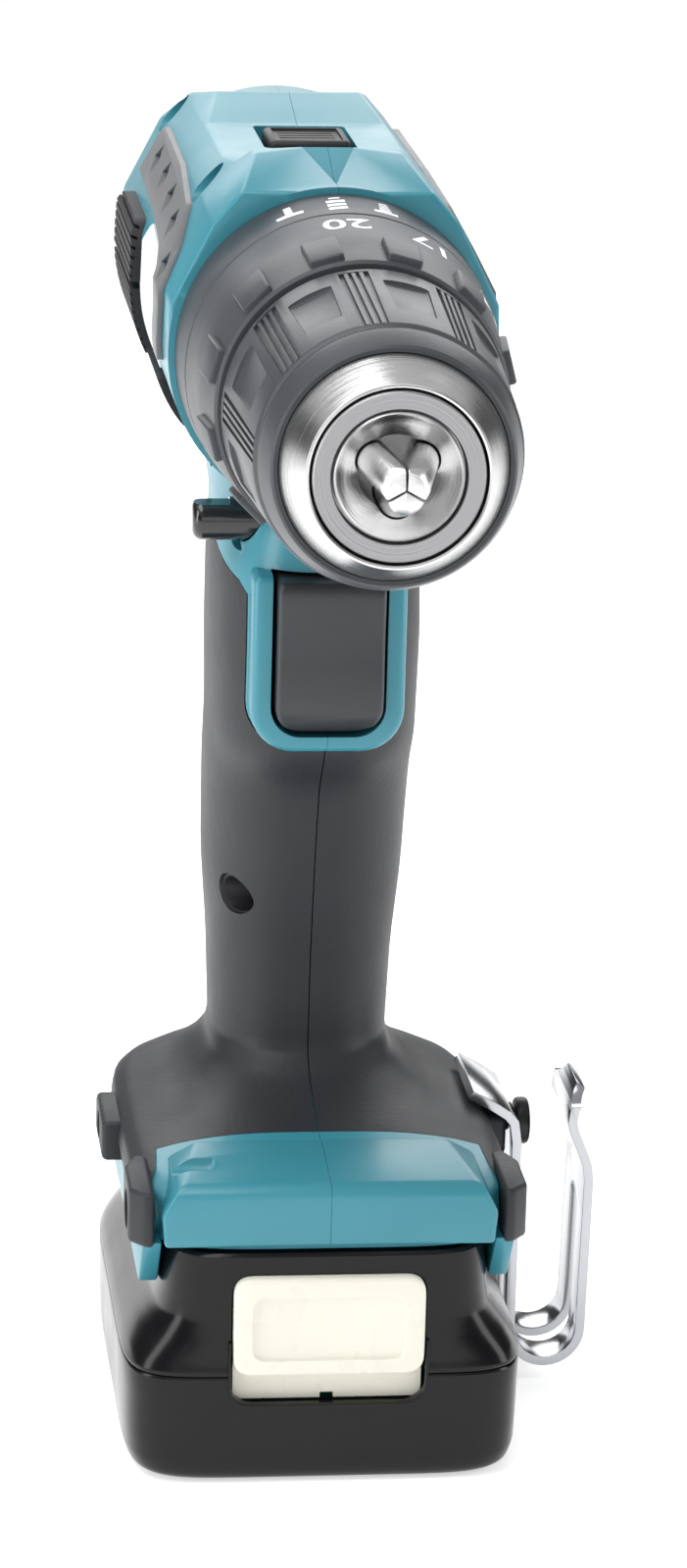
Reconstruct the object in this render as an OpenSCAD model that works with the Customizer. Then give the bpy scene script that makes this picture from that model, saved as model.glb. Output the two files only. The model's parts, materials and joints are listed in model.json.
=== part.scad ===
// Compact cordless hammer driver-drill with a slim slide-on battery.
// Z is up and the chuck points to -Y. The origin is the middle of the battery's flat underside.

/* [Overall] */
// Height of the spindle axis above the surface the battery stands on
axis_z = 180.5; // [176:0.5:196]
// Length of the housing barrel, from its front rim to its rear end
barrel_len = 105.6; // [100:0.2:125]
// Outer radius of the housing barrel
barrel_r = 26.3; // [25.5:0.1:29]
// Wall of the housing shells
wall = 2.4; // [2:0.1:3]
// Thickness of the rubber overmould on the grip
rubber_t = 1.4; // [1:0.1:1.8]
// Half width of the grip at its thickest place
grip_half_w = 17; // [16:0.1:20]
// Depth of the grip, front to back, at its thinnest place
grip_depth = 40; // [38:0.5:48]

/* [Battery] */
// Width of the battery
battery_w = 65.6; // [62:0.2:78]
// Length of the battery
battery_len = 79; // [74:0.5:94]
// Height of the battery's lower case
lower_case_h = 19; // [18.8:0.1:22]
// Height of the whole battery, up to its flat top
battery_h = 39.6; // [38.6:0.1:46]
// Wall of the battery cases
battery_wall = 1.6; // [1.2:0.1:2]
// Radius of one cell
cell_r = 9.2; // [8.9:0.1:9.3]
// Length of one cell
cell_len = 65; // [60:0.5:66]

/* [Chuck] */
// Largest shank the chuck takes
chuck_capacity = 10; // [8:0.5:10]
// Length of the chuck, nose to rear end
chuck_len = 45; // [44:0.5:50]
// Radius of the chuck body
chuck_body_r = 12.6; // [12:0.1:13]
// Radius of the chuck sleeve at its front
sleeve_front_r = 19.6; // [19:0.1:21]
// Radius of the chuck sleeve at its rear
sleeve_rear_r = 21.6; // [21:0.1:23]
// Radius of one jaw rod
jaw_r = 2.6; // [2.2:0.1:2.7]
// Lean of a jaw to the spindle axis, in degrees
jaw_lean = 15; // [13:0.5:16]
// Number of ribbed bands round the sleeve
sleeve_bands = 9; // [6:1:12]

/* [Rings] */
// Length of the torque ring
torque_ring_len = 26.2; // [24:0.1:30]
// Length of the mode ring
mode_ring_len = 13.4; // [10:0.1:15]
// Radius of the torque ring at its front
torque_front_r = 22.6; // [22:0.1:24]
// Radius at the joint between the rings
ring_joint_r = 24.8; // [24:0.1:25.2]
// Number of grip lugs round the torque ring
torque_lugs = 12; // [8:1:14]

/* [Motor and gears] */
// Outer radius of the motor can
motor_r = 17.8; // [16:0.1:18.4]
// Length of the motor can
motor_len = 44; // [36:1:46]
// Radius of the motor shaft
shaft_r = 2.5; // [2:0.1:3]
// Radius of the output spindle
spindle_r = 6; // [5:0.1:6.5]
// Outer radius of the gear case barrel that the rings turn on
gear_case_r = 19.2; // [18.6:0.1:19.6]
// Teeth of the ring gear
ring_teeth = 48; // [36:12:60]
// Module of the gear teeth
gear_module = 0.62; // [0.5:0.01:0.62]

/* [Controls] */
// Half width of the trigger
trigger_half_w = 8.6; // [7.5:0.1:9]
// Height of the trigger
trigger_h = 25.5; // [22:0.5:26]
// Travel of the trigger
trigger_travel = 6; // [4:0.5:6.5]
// Length of the reversing button
reversing_len = 36.5; // [36:0.5:40]
// Travel of the speed selector
selector_travel = 6; // [4:0.5:6.5]
// Width of the battery release button
release_w = 31; // [26:0.5:34]
// Travel of the battery release button
release_travel = 2.5; // [1.5:0.1:2.8]

/* [Hook] */
// Width of the belt hook strip
hook_w = 20; // [16:0.5:22]
// Thickness of the belt hook strip
hook_t = 1.6; // [1.2:0.1:2]
// Radius of the hook's bend, at the middle of the strip
hook_bend_r = 6; // [5:0.1:7]
// Radius of the thread bore in a hook insert
insert_bore_r = 1.65; // [1.5:0.05:1.8]

/* [Fits] */
// Running clearance between parts that turn or slide
run_fit = 0.3; // [0.2:0.05:0.4]
// Clearance between parts that are fixed together
seat_fit = 0.05; // [0.02:0.01:0.1]
// Gap between the battery and the drill's foot
battery_gap = 0.4; // [0.3:0.05:0.6]

/* [Hidden] */

teal = [0.20, 0.55, 0.62];
dark = [0.22, 0.23, 0.25];
black = [0.10, 0.10, 0.11];
metal = [0.78, 0.79, 0.80];
steel = [0.55, 0.56, 0.58];
brass = [0.78, 0.62, 0.30];
cream = [0.92, 0.91, 0.84];
round_fn = 96;
loft_fn = 28;

// Stations along the barrel, from the rim of the housing
rim_y = -9.6;
rear_y = rim_y + barrel_len;
mode_front_y = rim_y - run_fit - mode_ring_len;
torque_rear_y = mode_front_y - run_fit;
torque_front_y = torque_rear_y - torque_ring_len;
sleeve_rear_y = torque_front_y - 0.6;
nose_y = sleeve_rear_y - chuck_len;
// Depth of the sleeve's front edge behind the nose
bevel_len = 6.5;
sleeve_front_y = nose_y + bevel_len + 2.5;

// Chuck
chuck_bore_r = chuck_capacity / 2 + 0.4;
jaw_len = 32;
jaw_tip_y = nose_y - 8.6;
jaw_tip_r = 0.6;
jaw_nut_y = nose_y + 19;
jaw_nut_len = 6;
sleeve_wall = 2.8;
// Turn of the sleeve's first band from the top
band_turn = -7;

// Gear train
pitch_r_ring = gear_module * ring_teeth / 2;
sun_teeth = ring_teeth / 4;
planet_teeth = (ring_teeth - sun_teeth) / 2;
tooth_h = gear_module * 0.8;
planet_orbit_r = gear_module * (sun_teeth + planet_teeth) / 2;
first_stage_y = 3;
second_stage_y = -13;
stage_len = 6;
gear_case_front_y = torque_front_y + 2;
gear_case_rear_y = 13;
motor_y = 24;
motor_rear_y = motor_y + motor_len;
end_cap_len = 6;
fan_y = motor_rear_y + end_cap_len + 3;

// Grip and foot outline: height, front, back, half width and squareness of each slice
foot_z = battery_h + battery_gap;
grip_back_y = 2.6 + grip_depth;
foot_half_w = battery_w / 2 + 1.4;
foot_front_y = -battery_len / 2 + 1.9;
foot_back_y = battery_len / 2 + 2.6;
neck_z = axis_z - barrel_r;
trigger_z = axis_z - 61.1;
body_slices = [
  [foot_z, foot_front_y + 0.6, foot_back_y - 0.6, foot_half_w - 1.6, 4.6],
  [foot_z + 6, foot_front_y, foot_back_y, foot_half_w, 4.6],
  [foot_z + 8.4, foot_front_y + 4, foot_back_y - 0.2, foot_half_w - 3, 4.4],
  [foot_z + 10.6, foot_front_y + 17, foot_back_y - 0.3, foot_half_w - 8, 3.8],
  [foot_z + 12.6, foot_front_y + 29, foot_back_y - 0.4, grip_half_w + 3.6, 3.0],
  [foot_z + 15, foot_front_y + 36, grip_back_y - 0.6, grip_half_w + 0.2, 2.6],
  [foot_z + 20, 2.6, grip_back_y, grip_half_w - 2.1, 2.4],
  [foot_z + 33, 2.2, grip_back_y + 0.7, grip_half_w - 1.6, 2.4],
  [trigger_z - 28, -0.6, grip_back_y + 0.6, grip_half_w - 0.3, 2.4],
  [trigger_z - 12, -5, grip_back_y - 1, grip_half_w, 2.5],
  [trigger_z - 3, -12.6, grip_back_y - 2.2, grip_half_w, 2.7],
  [trigger_z + 12, -12.6, grip_back_y - 1.6, grip_half_w + 0.2, 2.8],
  [trigger_z + 27, -13.6, grip_back_y + 4, grip_half_w, 2.8],
  [trigger_z + 31, -13.6, grip_back_y + 8, grip_half_w, 2.9],
  [neck_z + 0.4, rim_y, grip_back_y + 14, grip_half_w, 3],
  [neck_z + 9, rim_y, grip_back_y + 20, grip_half_w, 3]];

// Controls
trigger_front_y = -18;
trigger_depth = 13;
switch_front_y = trigger_front_y + trigger_depth + trigger_travel + run_fit;
reversing_y = -3;
reversing_z = axis_z - 28.4;
reversing_r = 3.5;
reversing_start_x = -21.5;
selector_y = 31.4;
selector_len = 14.4;
selector_half_w = 6.8;
plate_z = axis_z + 25.5;

// Screws that hold the shells together: y and z of each
handle_screws = [[6.5, trigger_z - 33.4], [34, trigger_z - 58], [33, trigger_z + 4]];
barrel_screw_r = 21.6;
barrel_screws = [[19, axis_z - barrel_screw_r], [19, axis_z + barrel_screw_r],
  [rear_y - 9, axis_z - barrel_screw_r], [rear_y - 9, axis_z + barrel_screw_r]];
foot_screws = [[foot_front_y + 9, foot_z + 4], [foot_back_y - 7, foot_z + 4]];
all_screws = concat(handle_screws, barrel_screws, foot_screws);
boss_r = 3.6;
boss_reach = 30;
screw_seat_x = -7;
screw_shank_r = 1.4;
screw_head_r = 2.9;
screw_head_h = 2;
screw_len = 16;

// Hook inserts
insert_y = 12;
insert_z = foot_z + 3.4;
insert_r = 3;
insert_len = 7;

// Battery
half_w = battery_w / 2;
front_y = -battery_len / 2;
back_y = battery_len / 2;
deck_half_w = half_w - 6.2;
skirt_top = foot_z + 0.8;
skirt_bottom = foot_z - 8.4;
skirt_t = 3.2;
rail_z = foot_z - 4.2;
rail_h = 1.8;
rail_depth = 1.8;
release_z = 18;
release_h = 18;
release_lip_h = 3.6;
cell_pitch = cell_r * 2 + 0.4;

// One horizontal slice of a rounded body, as points
function sgn_pow(v, p) = sign(v) * pow(abs(v), p);
function slice_points(s, inset) = [for (i = [0:loft_fn - 1])
  let (a = 360 * (i + 0.5) / loft_fn, hd = (s[2] - s[1]) / 2 - inset, p = 2 / s[4])
  [(s[3] - inset) * sgn_pow(cos(a), p), (s[1] + s[2]) / 2 + hd * sgn_pow(sin(a), p), s[0]]];

// A closed body through a list of slices, drawn in by inset
module loft(slices, inset = 0) {
  rings = [for (s = slices) slice_points(s, inset)];
  count = len(rings);
  faces = concat(
    [[for (i = [0:loft_fn - 1]) i]],
    [for (k = [0:count - 2], i = [0:loft_fn - 1]) let (j = (i + 1) % loft_fn)
      [k * loft_fn + i, (k + 1) * loft_fn + i, (k + 1) * loft_fn + j]],
    [for (k = [0:count - 2], i = [0:loft_fn - 1]) let (j = (i + 1) % loft_fn)
      [k * loft_fn + i, (k + 1) * loft_fn + j, k * loft_fn + j]],
    [[for (i = [loft_fn - 1:-1:0]) (count - 1) * loft_fn + i]]);
  polyhedron(points = [for (r = rings, p = r) p], faces = faces);
}

// A round part on the spindle axis: pairs of radius and y
module turned(points) {
  translate([0, 0, axis_z]) rotate([-90, 0, 0]) rotate_extrude($fn = round_fn) polygon(points);
}
module tube_y(r_out, r_in, y0, y1) {
  turned([[r_in, y0], [r_out, y0], [r_out, y1], [r_in, y1]]);
}
module disc_y(r, y0, y1) {
  translate([0, y0, axis_z]) rotate([-90, 0, 0]) cylinder(r = r, h = y1 - y0, $fn = round_fn);
}
// A plate with an outline of y and z points, thick along X
module plate_x(points, x0, x1) {
  translate([x0, 0, 0]) rotate([90, 0, 90]) linear_extrude(x1 - x0) polygon(points);
}
// A plate with an outline of x and z points, thick along Y
module plate_y(points, y0, y1) {
  translate([0, y1, 0]) rotate([90, 0, 0]) linear_extrude(y1 - y0) polygon(points);
}
module box(lo, hi) {
  translate(lo) cube(hi - lo);
}
module rod_x(r, x0, x1, y, z) {
  translate([x0, y, z]) rotate([0, 90, 0]) cylinder(r = r, h = x1 - x0, $fn = 48);
}
// Spur gear on the spindle axis direction
module gear(teeth, y0, y1, bore_r) {
  root_r = gear_module * teeth / 2 - tooth_h - 0.15;
  tip_r = gear_module * teeth / 2 - 0.16;
  step = 360 / teeth;
  points = [for (i = [0:teeth - 1], k = [0:3])
    let (a = i * step + [0, 0.34, 0.5, 0.84][k] * step, r = [tip_r, tip_r, root_r, root_r][k])
    [r * cos(a), r * sin(a)]];
  translate([0, y0, 0]) rotate([-90, 0, 0]) difference() {
    linear_extrude(y1 - y0) polygon(points);
    translate([0, 0, -1]) cylinder(r = bore_r, h = y1 - y0 + 2, $fn = 48);
  }
}

// Half space of one shell: side is -1 for the right hand shell and 1 for the left
module shell_side(side) {
  intersection() {
    children();
    translate([side > 0 ? seat_fit / 2 : -80 - seat_fit / 2, -120, 0]) cube([80, 260, 260]);
  }
}

// The faceted top over the barrel
module top_block(inset = 0) {
  intersection() {
    plate_x([[rim_y, axis_z], [rim_y, axis_z + 25.4 - inset], [7, axis_z + 29.9 - inset],
      [12, axis_z + 27 - inset], [24, plate_z - inset], [rear_y - 41, plate_z - inset],
      [rear_y - 27.5, axis_z + 28.7 - inset], [rear_y - 8, axis_z + 25.5 - inset],
      [rear_y - 1.5, axis_z + 20 - inset], [rear_y - 1.5, axis_z]], -40, 40);
    plate_y([[-barrel_r - 0.2 + inset, axis_z], [-barrel_r + 0.1 + inset, axis_z + 7.5],
      [-19.6 + inset, axis_z + 20.3], [-11.9 + inset * 0.6, axis_z + 30.2],
      [11.9 - inset * 0.6, axis_z + 30.2], [19.6 - inset, axis_z + 20.3],
      [barrel_r - 0.1 - inset, axis_z + 7.5], [barrel_r + 0.2 - inset, axis_z]], rim_y, rear_y - 1.5);
  }
}
module barrel_solid() {
  difference() {
    turned([[0, rim_y], [barrel_r, rim_y], [barrel_r, rear_y - 8], [barrel_r - 2, rear_y - 2.5],
      [barrel_r - 4.5, rear_y], [0, rear_y]]);
    // planed flat under the selector's plate
    box([-20, 9, plate_z], [20, rear_y - 30, axis_z + 40]);
  }
}
module barrel_cavity() {
  r = barrel_r - wall;
  turned([[0, rim_y - 1], [r, rim_y - 1], [r, rear_y - 8.5], [r - 4, rear_y - wall],
    [0, rear_y - wall]]);
}
// Region of the grip and foot that the rubber covers
module rubber_region() {
  difference() {
    plate_x([[-60, -5], [-60, trigger_z + 17], [-13, trigger_z + 17], [-5, trigger_z + 23],
      [8, trigger_z + 26.5], [22, trigger_z + 29], [80, trigger_z + 31], [80, -5]], -60, 60);
    trigger_frame(trigger_half_w + 4, trigger_z - 3.4, trigger_z + 60, 7, -60, 6);
    fascia_region();
  }
}
// The bare plastic frame round the trigger: an outline with rounded lower corners
module trigger_frame(half, bottom, top, corner, y0, y1) {
  arcs = [for (m = [-1, 1], a = [0:15:90]) let (b = m < 0 ? 180 + a : 270 + a)
    [m * (half - corner) + corner * cos(b), bottom + corner + corner * sin(b)]];
  plate_y(concat([[half, top], [-half, top]], arcs), y0, y1);
}
// Region of the bare plastic front of the foot
module fascia_region() {
  plate_y([[-28, -9], [-28, foot_z + 8], [-23, foot_z + 14], [23, foot_z + 14],
    [28, foot_z + 8], [28, -9]], -60, foot_front_y + 21);
}
// The raised front of the foot
module fascia() {
  intersection() {
    plate_x([[foot_front_y - 0.2, foot_z + 0.3], [foot_front_y - 0.3, foot_z + 9.6],
      [foot_front_y + 1.2, foot_z + 11], [foot_front_y + 17, foot_z + 12.8],
      [foot_front_y + 17, foot_z + 0.3]], -40, 40);
    plate_y([[-27.4, foot_z + 0.3], [-27.9, foot_z + 6], [-25.4, foot_z + 10.4],
      [-21, foot_z + 12.8], [21, foot_z + 12.8], [25.4, foot_z + 10.4],
      [27.9, foot_z + 6], [27.4, foot_z + 0.3]], -60, 0);
  }
}
module screw_bosses() {
  for (s = all_screws) rod_x(boss_r, -boss_reach, boss_reach, s[0], s[1]);
}
module screw_holes() {
  for (s = all_screws) {
    rod_x(screw_shank_r + seat_fit, screw_seat_x - 1, screw_seat_x + screw_len + 0.5, s[0], s[1]);
    rod_x(screw_head_r + 0.4, -45, screw_seat_x, s[0], s[1]);
  }
}
// Side skirts of the foot that hold the battery's rails
module skirts(grow = 0) {
  for (m = [0, 1]) mirror([m, 0, 0]) {
    plate_x([[foot_front_y + 1.5 - grow, skirt_top + grow],
      [foot_front_y + 9 - grow, skirt_bottom],
      [back_y - 3 + grow, skirt_bottom],
      [back_y - 3 + grow, skirt_top + grow]],
      deck_half_w + battery_gap - grow, deck_half_w + battery_gap + skirt_t + grow);
    box([deck_half_w - rail_depth + battery_gap, foot_front_y + 12, rail_z],
      [deck_half_w + battery_gap + 0.5, back_y - 6, rail_z + rail_h]);
  }
}
module diamond_vents(side) {
  for (v = [0:3]) rotate_vent(side, 10 + v * 15) children();
}
module rotate_vent(side, y) {
  translate([side * (barrel_r - 9.5), y, axis_z + 17.4]) rotate([0, side * 45, 0])
    translate([0, 0, -6]) children();
}
module vent_hole() {
  cylinder(r = 2.6, h = 16, $fn = 4);
}
module housing(side) {
  shell_side(side) difference() {
    union() {
      difference() {
        union() {
          barrel_solid();
          top_block();
          loft(body_slices, rubber_t + seat_fit);
          difference() {
            loft(body_slices);
            rubber_region();
          }
          fascia();
        }
        barrel_cavity();
        top_block(wall);
        loft([for (i = [0:len(body_slices) - 1]) let (s = body_slices[i])
          [s[0] + (i == 0 ? -1 : -1.2), s[1], s[2], s[3], s[4]]], rubber_t + wall);
      }
      intersection() {
        union() {
          barrel_solid();
          loft(body_slices, rubber_t + seat_fit);
        }
        union() {
          screw_bosses();
          for (y = [motor_y + 4, motor_rear_y - 8])
            tube_y(barrel_r - 0.5, motor_r + seat_fit, y, y + 3);
          for (m = [-1, 1]) rod_x(insert_r + 2.2, m > 0 ? 24 : -40, m > 0 ? 40 : -24,
            insert_y, insert_z);
          box([-40, foot_front_y + 0.4, foot_z], [40, foot_back_y - 3, foot_z + 0.8]);
        }
      }
      skirts();
    }
    screw_holes();
    disc_y(motor_r + seat_fit, motor_y - 8, rear_y - 10);
    // seats of the hook inserts
    for (m = [-1, 1]) rod_x(insert_r + seat_fit, m > 0 ? foot_half_w - 8.2 : -45,
      m > 0 ? 45 : -foot_half_w + 8.2, insert_y, insert_z);
    // trigger opening
    trigger_frame(trigger_half_w + 0.6, trigger_z - 0.6, trigger_z + trigger_h + 0.6, 5, -40, 4);
    // reversing button passage
    rod_x(reversing_r + run_fit, -40, 40, reversing_y, reversing_z);
    // speed selector window
    box([-selector_half_w - 0.9, selector_y - 0.6, plate_z - 8],
      [selector_half_w + 0.9, selector_y + selector_len + selector_travel + 0.6, plate_z + 8]);
    // channel for the selector's rod
    box([-1.8 - run_fit, -3, motor_r + axis_z + 0.5],
      [1.8 + run_fit, selector_y + 8.6 + selector_travel, motor_r + axis_z + 2.5]);
    // lamp window above the trigger, and the seat of its board
    translate([0, -20, reversing_z - 3.4]) rotate([-90, 0, 0])
      cylinder(r = 2.6, h = 14, $fn = 48);
    box([-4 - seat_fit, -9.7 - seat_fit, reversing_z - 5.6 - seat_fit],
      [4 + seat_fit, -8, reversing_z - 1.6 + seat_fit]);
    // space for the terminal block and its tongue
    box([-15.5, 3, foot_z - 2], [15.5, back_y - 4.5, foot_z + 3]);
    diamond_vents(side) vent_hole();
    // seat of the label plate and the rubber bumpers
    label_shape(side, seat_fit);
    bumper_shape(side, seat_fit);
  }
}
module housing_right() { color(teal) housing(-1); }
module housing_left() { color(teal) housing(1); }

module grip_rubber(side) {
  shell_side(side) difference() {
    intersection() {
      loft(body_slices);
      rubber_region();
    }
    loft([for (i = [0:len(body_slices) - 1]) let (s = body_slices[i])
      [s[0] + (i == 0 ? -2 : 0), s[1], s[2], s[3], s[4]]], rubber_t);
    fascia();
    screw_holes();
    skirts(seat_fit);
    for (m = [-1, 1]) rod_x(insert_r + 2.6, m > 0 ? 20 : -45, m > 0 ? 45 : -20,
      insert_y, insert_z);
  }
}
module grip_rubber_right() { color(dark) grip_rubber(-1); }
module grip_rubber_left() { color(dark) grip_rubber(1); }

// Rubber bumpers on one side of the barrel
module bumper_shape(side, grow = 0) {
  lift = barrel_r - 1.2 - grow;
  intersection() {
    tube_y(barrel_r + 1.9, lift, rear_y - 48 - grow, rear_y - 10 + grow);
    box([side > 0 ? 18 : -40, 0, axis_z - 13 - grow],
      [side > 0 ? 40 : -18, 120, axis_z + 9.5 + grow]);
  }
  intersection() {
    tube_y(barrel_r + 1.4, lift, rim_y + 23 - grow, rim_y + 53 + grow);
    box([side > 0 ? 14 : -40, 0, axis_z - 18 - grow], [side > 0 ? 40 : -14, 120, axis_z - 10 + grow]);
  }
}
module bumper_right() { color(black) bumper_shape(-1); }
module bumper_left() { color(black) bumper_shape(1); }

// Blank plate in a shallow recess on one side of the barrel
module label_shape(side, grow = 0) {
  intersection() {
    tube_y(barrel_r + 0.2, barrel_r - 0.6 - grow, rim_y + 22 - grow, rear_y - 50 + grow);
    box([side > 0 ? 20 : -40, rim_y + 20, axis_z - 8.4 - grow],
      [side > 0 ? 40 : -20, rear_y - 46, axis_z + 10 + grow]);
  }
}
module label_plate_right() { color(metal) label_shape(-1); }
module label_plate_left() { color(metal) label_shape(1); }

// Vented trim band that lies on the upper cheek and runs down in front of the plate
module vent_trim(side) {
  difference() {
    intersection() {
      difference() {
        union() {
          top_block(-0.9);
          tube_y(barrel_r + 0.9, barrel_r - 1, rim_y + 5, rim_y + 25);
        }
        top_block();
        barrel_solid();
      }
      union() {
        box([side > 0 ? 15 : -40, 2, axis_z + 11.5],
          [side > 0 ? 40 : -15, rear_y - 14, axis_z + 22]);
        box([side > 0 ? 15 : -40, 2, axis_z - 4], [side > 0 ? 40 : -15, 11, axis_z + 12]);
      }
    }
    diamond_vents(side) vent_hole();
  }
}
module vent_trim_right() { color(dark) vent_trim(-1); }
module vent_trim_left() { color(dark) vent_trim(1); }

module housing_screws() {
  color(black) for (s = all_screws) union() {
    rod_x(screw_shank_r, screw_seat_x - 0.5, screw_seat_x + screw_len, s[0], s[1]);
    difference() {
      rod_x(screw_head_r, screw_seat_x - screw_head_h, screw_seat_x, s[0], s[1]);
      translate([screw_seat_x - screw_head_h - 0.1, s[0], s[1]]) rotate([0, 90, 0])
        cylinder(r = 1.3, h = 1.1, $fn = 6);
    }
  }
}

module lamp_lens() {
  color([0.9, 0.93, 0.95]) translate([0, -13.8, reversing_z - 3.4]) rotate([-90, 0, 0])
    rotate_extrude($fn = 48) polygon([[0, -0.6], [1.6, -0.4], [2.5, 0.6], [2.5, 4], [0, 4]]);
}
module lamp_board() {
  color([0.15, 0.4, 0.2]) box([-4, -9.7, reversing_z - 5.6], [4, -8.7, reversing_z - 1.6]);
}

module switch_body() {
  color(black) difference() {
    union() {
      box([-8, switch_front_y, trigger_z], [8, switch_front_y + 25, trigger_z + 25]);
      box([-6, switch_front_y + 25, trigger_z + 4], [6, switch_front_y + 28, trigger_z + 20]);
    }
    translate([0, switch_front_y - 1, trigger_z + 15]) rotate([-90, 0, 0])
      cylinder(r = 2.4 + run_fit, h = 16, $fn = 48);
  }
}

module motor_can() {
  color(steel) difference() {
    union() {
      disc_y(motor_r, motor_y, motor_rear_y);
      disc_y(6.5, motor_y - 4, motor_y);
    }
    disc_y(motor_r - 1.6, motor_y + 2, motor_rear_y + 1);
    disc_y(5, motor_y - 3.2, motor_y + 3);
    disc_y(shaft_r + run_fit, motor_y - 6, motor_y + 3);
  }
}
module motor_magnets() {
  color(dark) for (m = [0, 1]) mirror([m, 0, 0]) intersection() {
    tube_y(motor_r - 1.6 - seat_fit, motor_r - 4.2, motor_y + 5, motor_rear_y - 6);
    box([7.5, 0, axis_z - 30], [30, 100, axis_z + 30]);
  }
}
module motor_end_cap() {
  color(black) difference() {
    union() {
      disc_y(motor_r, motor_rear_y + seat_fit, motor_rear_y + end_cap_len);
      disc_y(motor_r - 1.7, motor_rear_y - 4, motor_rear_y + 1);
    }
    disc_y(9.5, motor_rear_y - 5, motor_rear_y + 2);
    disc_y(5, motor_rear_y - 5, motor_rear_y + end_cap_len - 1);
    disc_y(shaft_r + run_fit, motor_rear_y - 5, motor_rear_y + end_cap_len + 1);
    for (m = [-1, 1]) box([m > 0 ? 6 : -14, motor_rear_y - 5, axis_z - 3],
      [m > 0 ? 14 : -6, motor_rear_y - 0.4, axis_z + 3]);
  }
}
module motor_brushes() {
  color(brass) for (m = [0, 1]) mirror([m, 0, 0])
    box([7.3, motor_rear_y - 4.4, axis_z - 2.9], [13.9, motor_rear_y - 0.5, axis_z + 2.9]);
}
module motor_bearings() {
  color(metal) {
    tube_y(5 - seat_fit, shaft_r + 0.05, motor_y - 3.1, motor_y + 0.8);
    tube_y(5 - seat_fit, shaft_r + 0.05, motor_rear_y + 1, motor_rear_y + end_cap_len - 1.1);
  }
}
module rotor() {
  color(steel) {
    disc_y(shaft_r, first_stage_y + 1, fan_y + 9);
    difference() {
      disc_y(motor_r - 4.8, motor_y + 7, motor_rear_y - 12);
      for (k = [0:4]) translate([0, 0, axis_z]) rotate([0, k * 72, 0])
        translate([-1, motor_y, motor_r - 8]) cube([2, motor_len, 6]);
    }
    disc_y(6.9, motor_rear_y - 7, motor_rear_y - 0.4);
  }
}
module motor_pinion() {
  color(metal) translate([0, 0, axis_z])
    gear(sun_teeth, first_stage_y, first_stage_y + stage_len + 2, shaft_r + seat_fit);
}
module cooling_fan() {
  color(black) difference() {
    union() {
      disc_y(4.6, fan_y, fan_y + 8);
      disc_y(motor_r - 2, fan_y + 6.6, fan_y + 8);
      for (k = [0:10]) translate([0, 0, axis_z]) rotate([0, k * 360 / 11, 0])
        translate([3.5, fan_y + 1, -0.6]) cube([motor_r - 6.5, 6.2, 1.2]);
    }
    disc_y(shaft_r + seat_fit, fan_y - 1, fan_y + 10);
  }
}

module gear_case() {
  color(steel) difference() {
    union() {
      disc_y(gear_case_r, gear_case_front_y, gear_case_rear_y);
      disc_y(barrel_r - wall - seat_fit, rim_y + 0.4, gear_case_rear_y);
    }
    disc_y(gear_case_r - 2, gear_case_front_y + 3, gear_case_rear_y - 2.4);
    disc_y(11 + seat_fit, gear_case_front_y - 1, gear_case_front_y + 4);
    disc_y(motor_r - 8, gear_case_rear_y - 4, gear_case_rear_y + 1);
    // slot for the speed selector's foot
    box([-3.4, -3, axis_z + 15], [3.4, gear_case_rear_y + 1, axis_z + 30]);
  }
}
module ring_gear() {
  count = ring_teeth;
  root_r = pitch_r_ring + tooth_h;
  step = 360 / count;
  color(steel) translate([0, second_stage_y - 1, axis_z]) rotate([-90, 0, 0]) difference() {
    cylinder(r = gear_case_r - 2 - seat_fit, h = first_stage_y + stage_len - second_stage_y,
      $fn = round_fn);
    translate([0, 0, -1]) linear_extrude(60) polygon([for (i = [0:count - 1], k = [0:3])
      let (a = i * step + [0, 0.34, 0.5, 0.84][k] * step,
        r = [root_r, root_r, pitch_r_ring + 0.16, pitch_r_ring + 0.16][k])
      [r * cos(a), r * sin(a)]]);
  }
}
// Three planet gears on their pins
module planets(y0) {
  for (k = [0:2]) translate([0, 0, axis_z]) rotate([0, k * 120, 0])
    translate([planet_orbit_r, 0, 0]) gear(planet_teeth, y0, y0 + stage_len, 1.5 + seat_fit);
}
module carrier_pins(y0, y1) {
  for (k = [0:2]) translate([0, 0, axis_z]) rotate([0, k * 120, 0])
    translate([planet_orbit_r, y0, 0]) rotate([-90, 0, 0])
    cylinder(r = 1.5, h = y1 - y0, $fn = 48);
}
module first_planets() { color(metal) planets(first_stage_y); }
module second_planets() { color(metal) planets(second_stage_y); }
module first_carrier() {
  color(steel) {
    disc_y(planet_orbit_r + 3, first_stage_y - 3, first_stage_y - 0.3);
    carrier_pins(first_stage_y - 1, first_stage_y + stage_len);
    translate([0, 0, axis_z]) gear(sun_teeth, second_stage_y, first_stage_y - 2, 0.8);
  }
}
module output_spindle() {
  color(steel) {
    disc_y(planet_orbit_r + 3, second_stage_y - 3, second_stage_y - 0.3);
    carrier_pins(second_stage_y - 1, second_stage_y + stage_len);
    disc_y(spindle_r, nose_y + 30, second_stage_y - 2);
  }
}
module spindle_bearing() {
  color(metal) tube_y(11, spindle_r + 0.05, gear_case_front_y + 0.3, gear_case_front_y + 3.9);
}
module clutch_spring() {
  color(steel) for (k = [0:4]) translate([0, gear_case_front_y + 8.5 + k * 3, axis_z])
    rotate([-90, 0, 0]) rotate_extrude($fn = 64) translate([11.8, 0]) circle(r = 1, $fn = 24);
}

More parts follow.
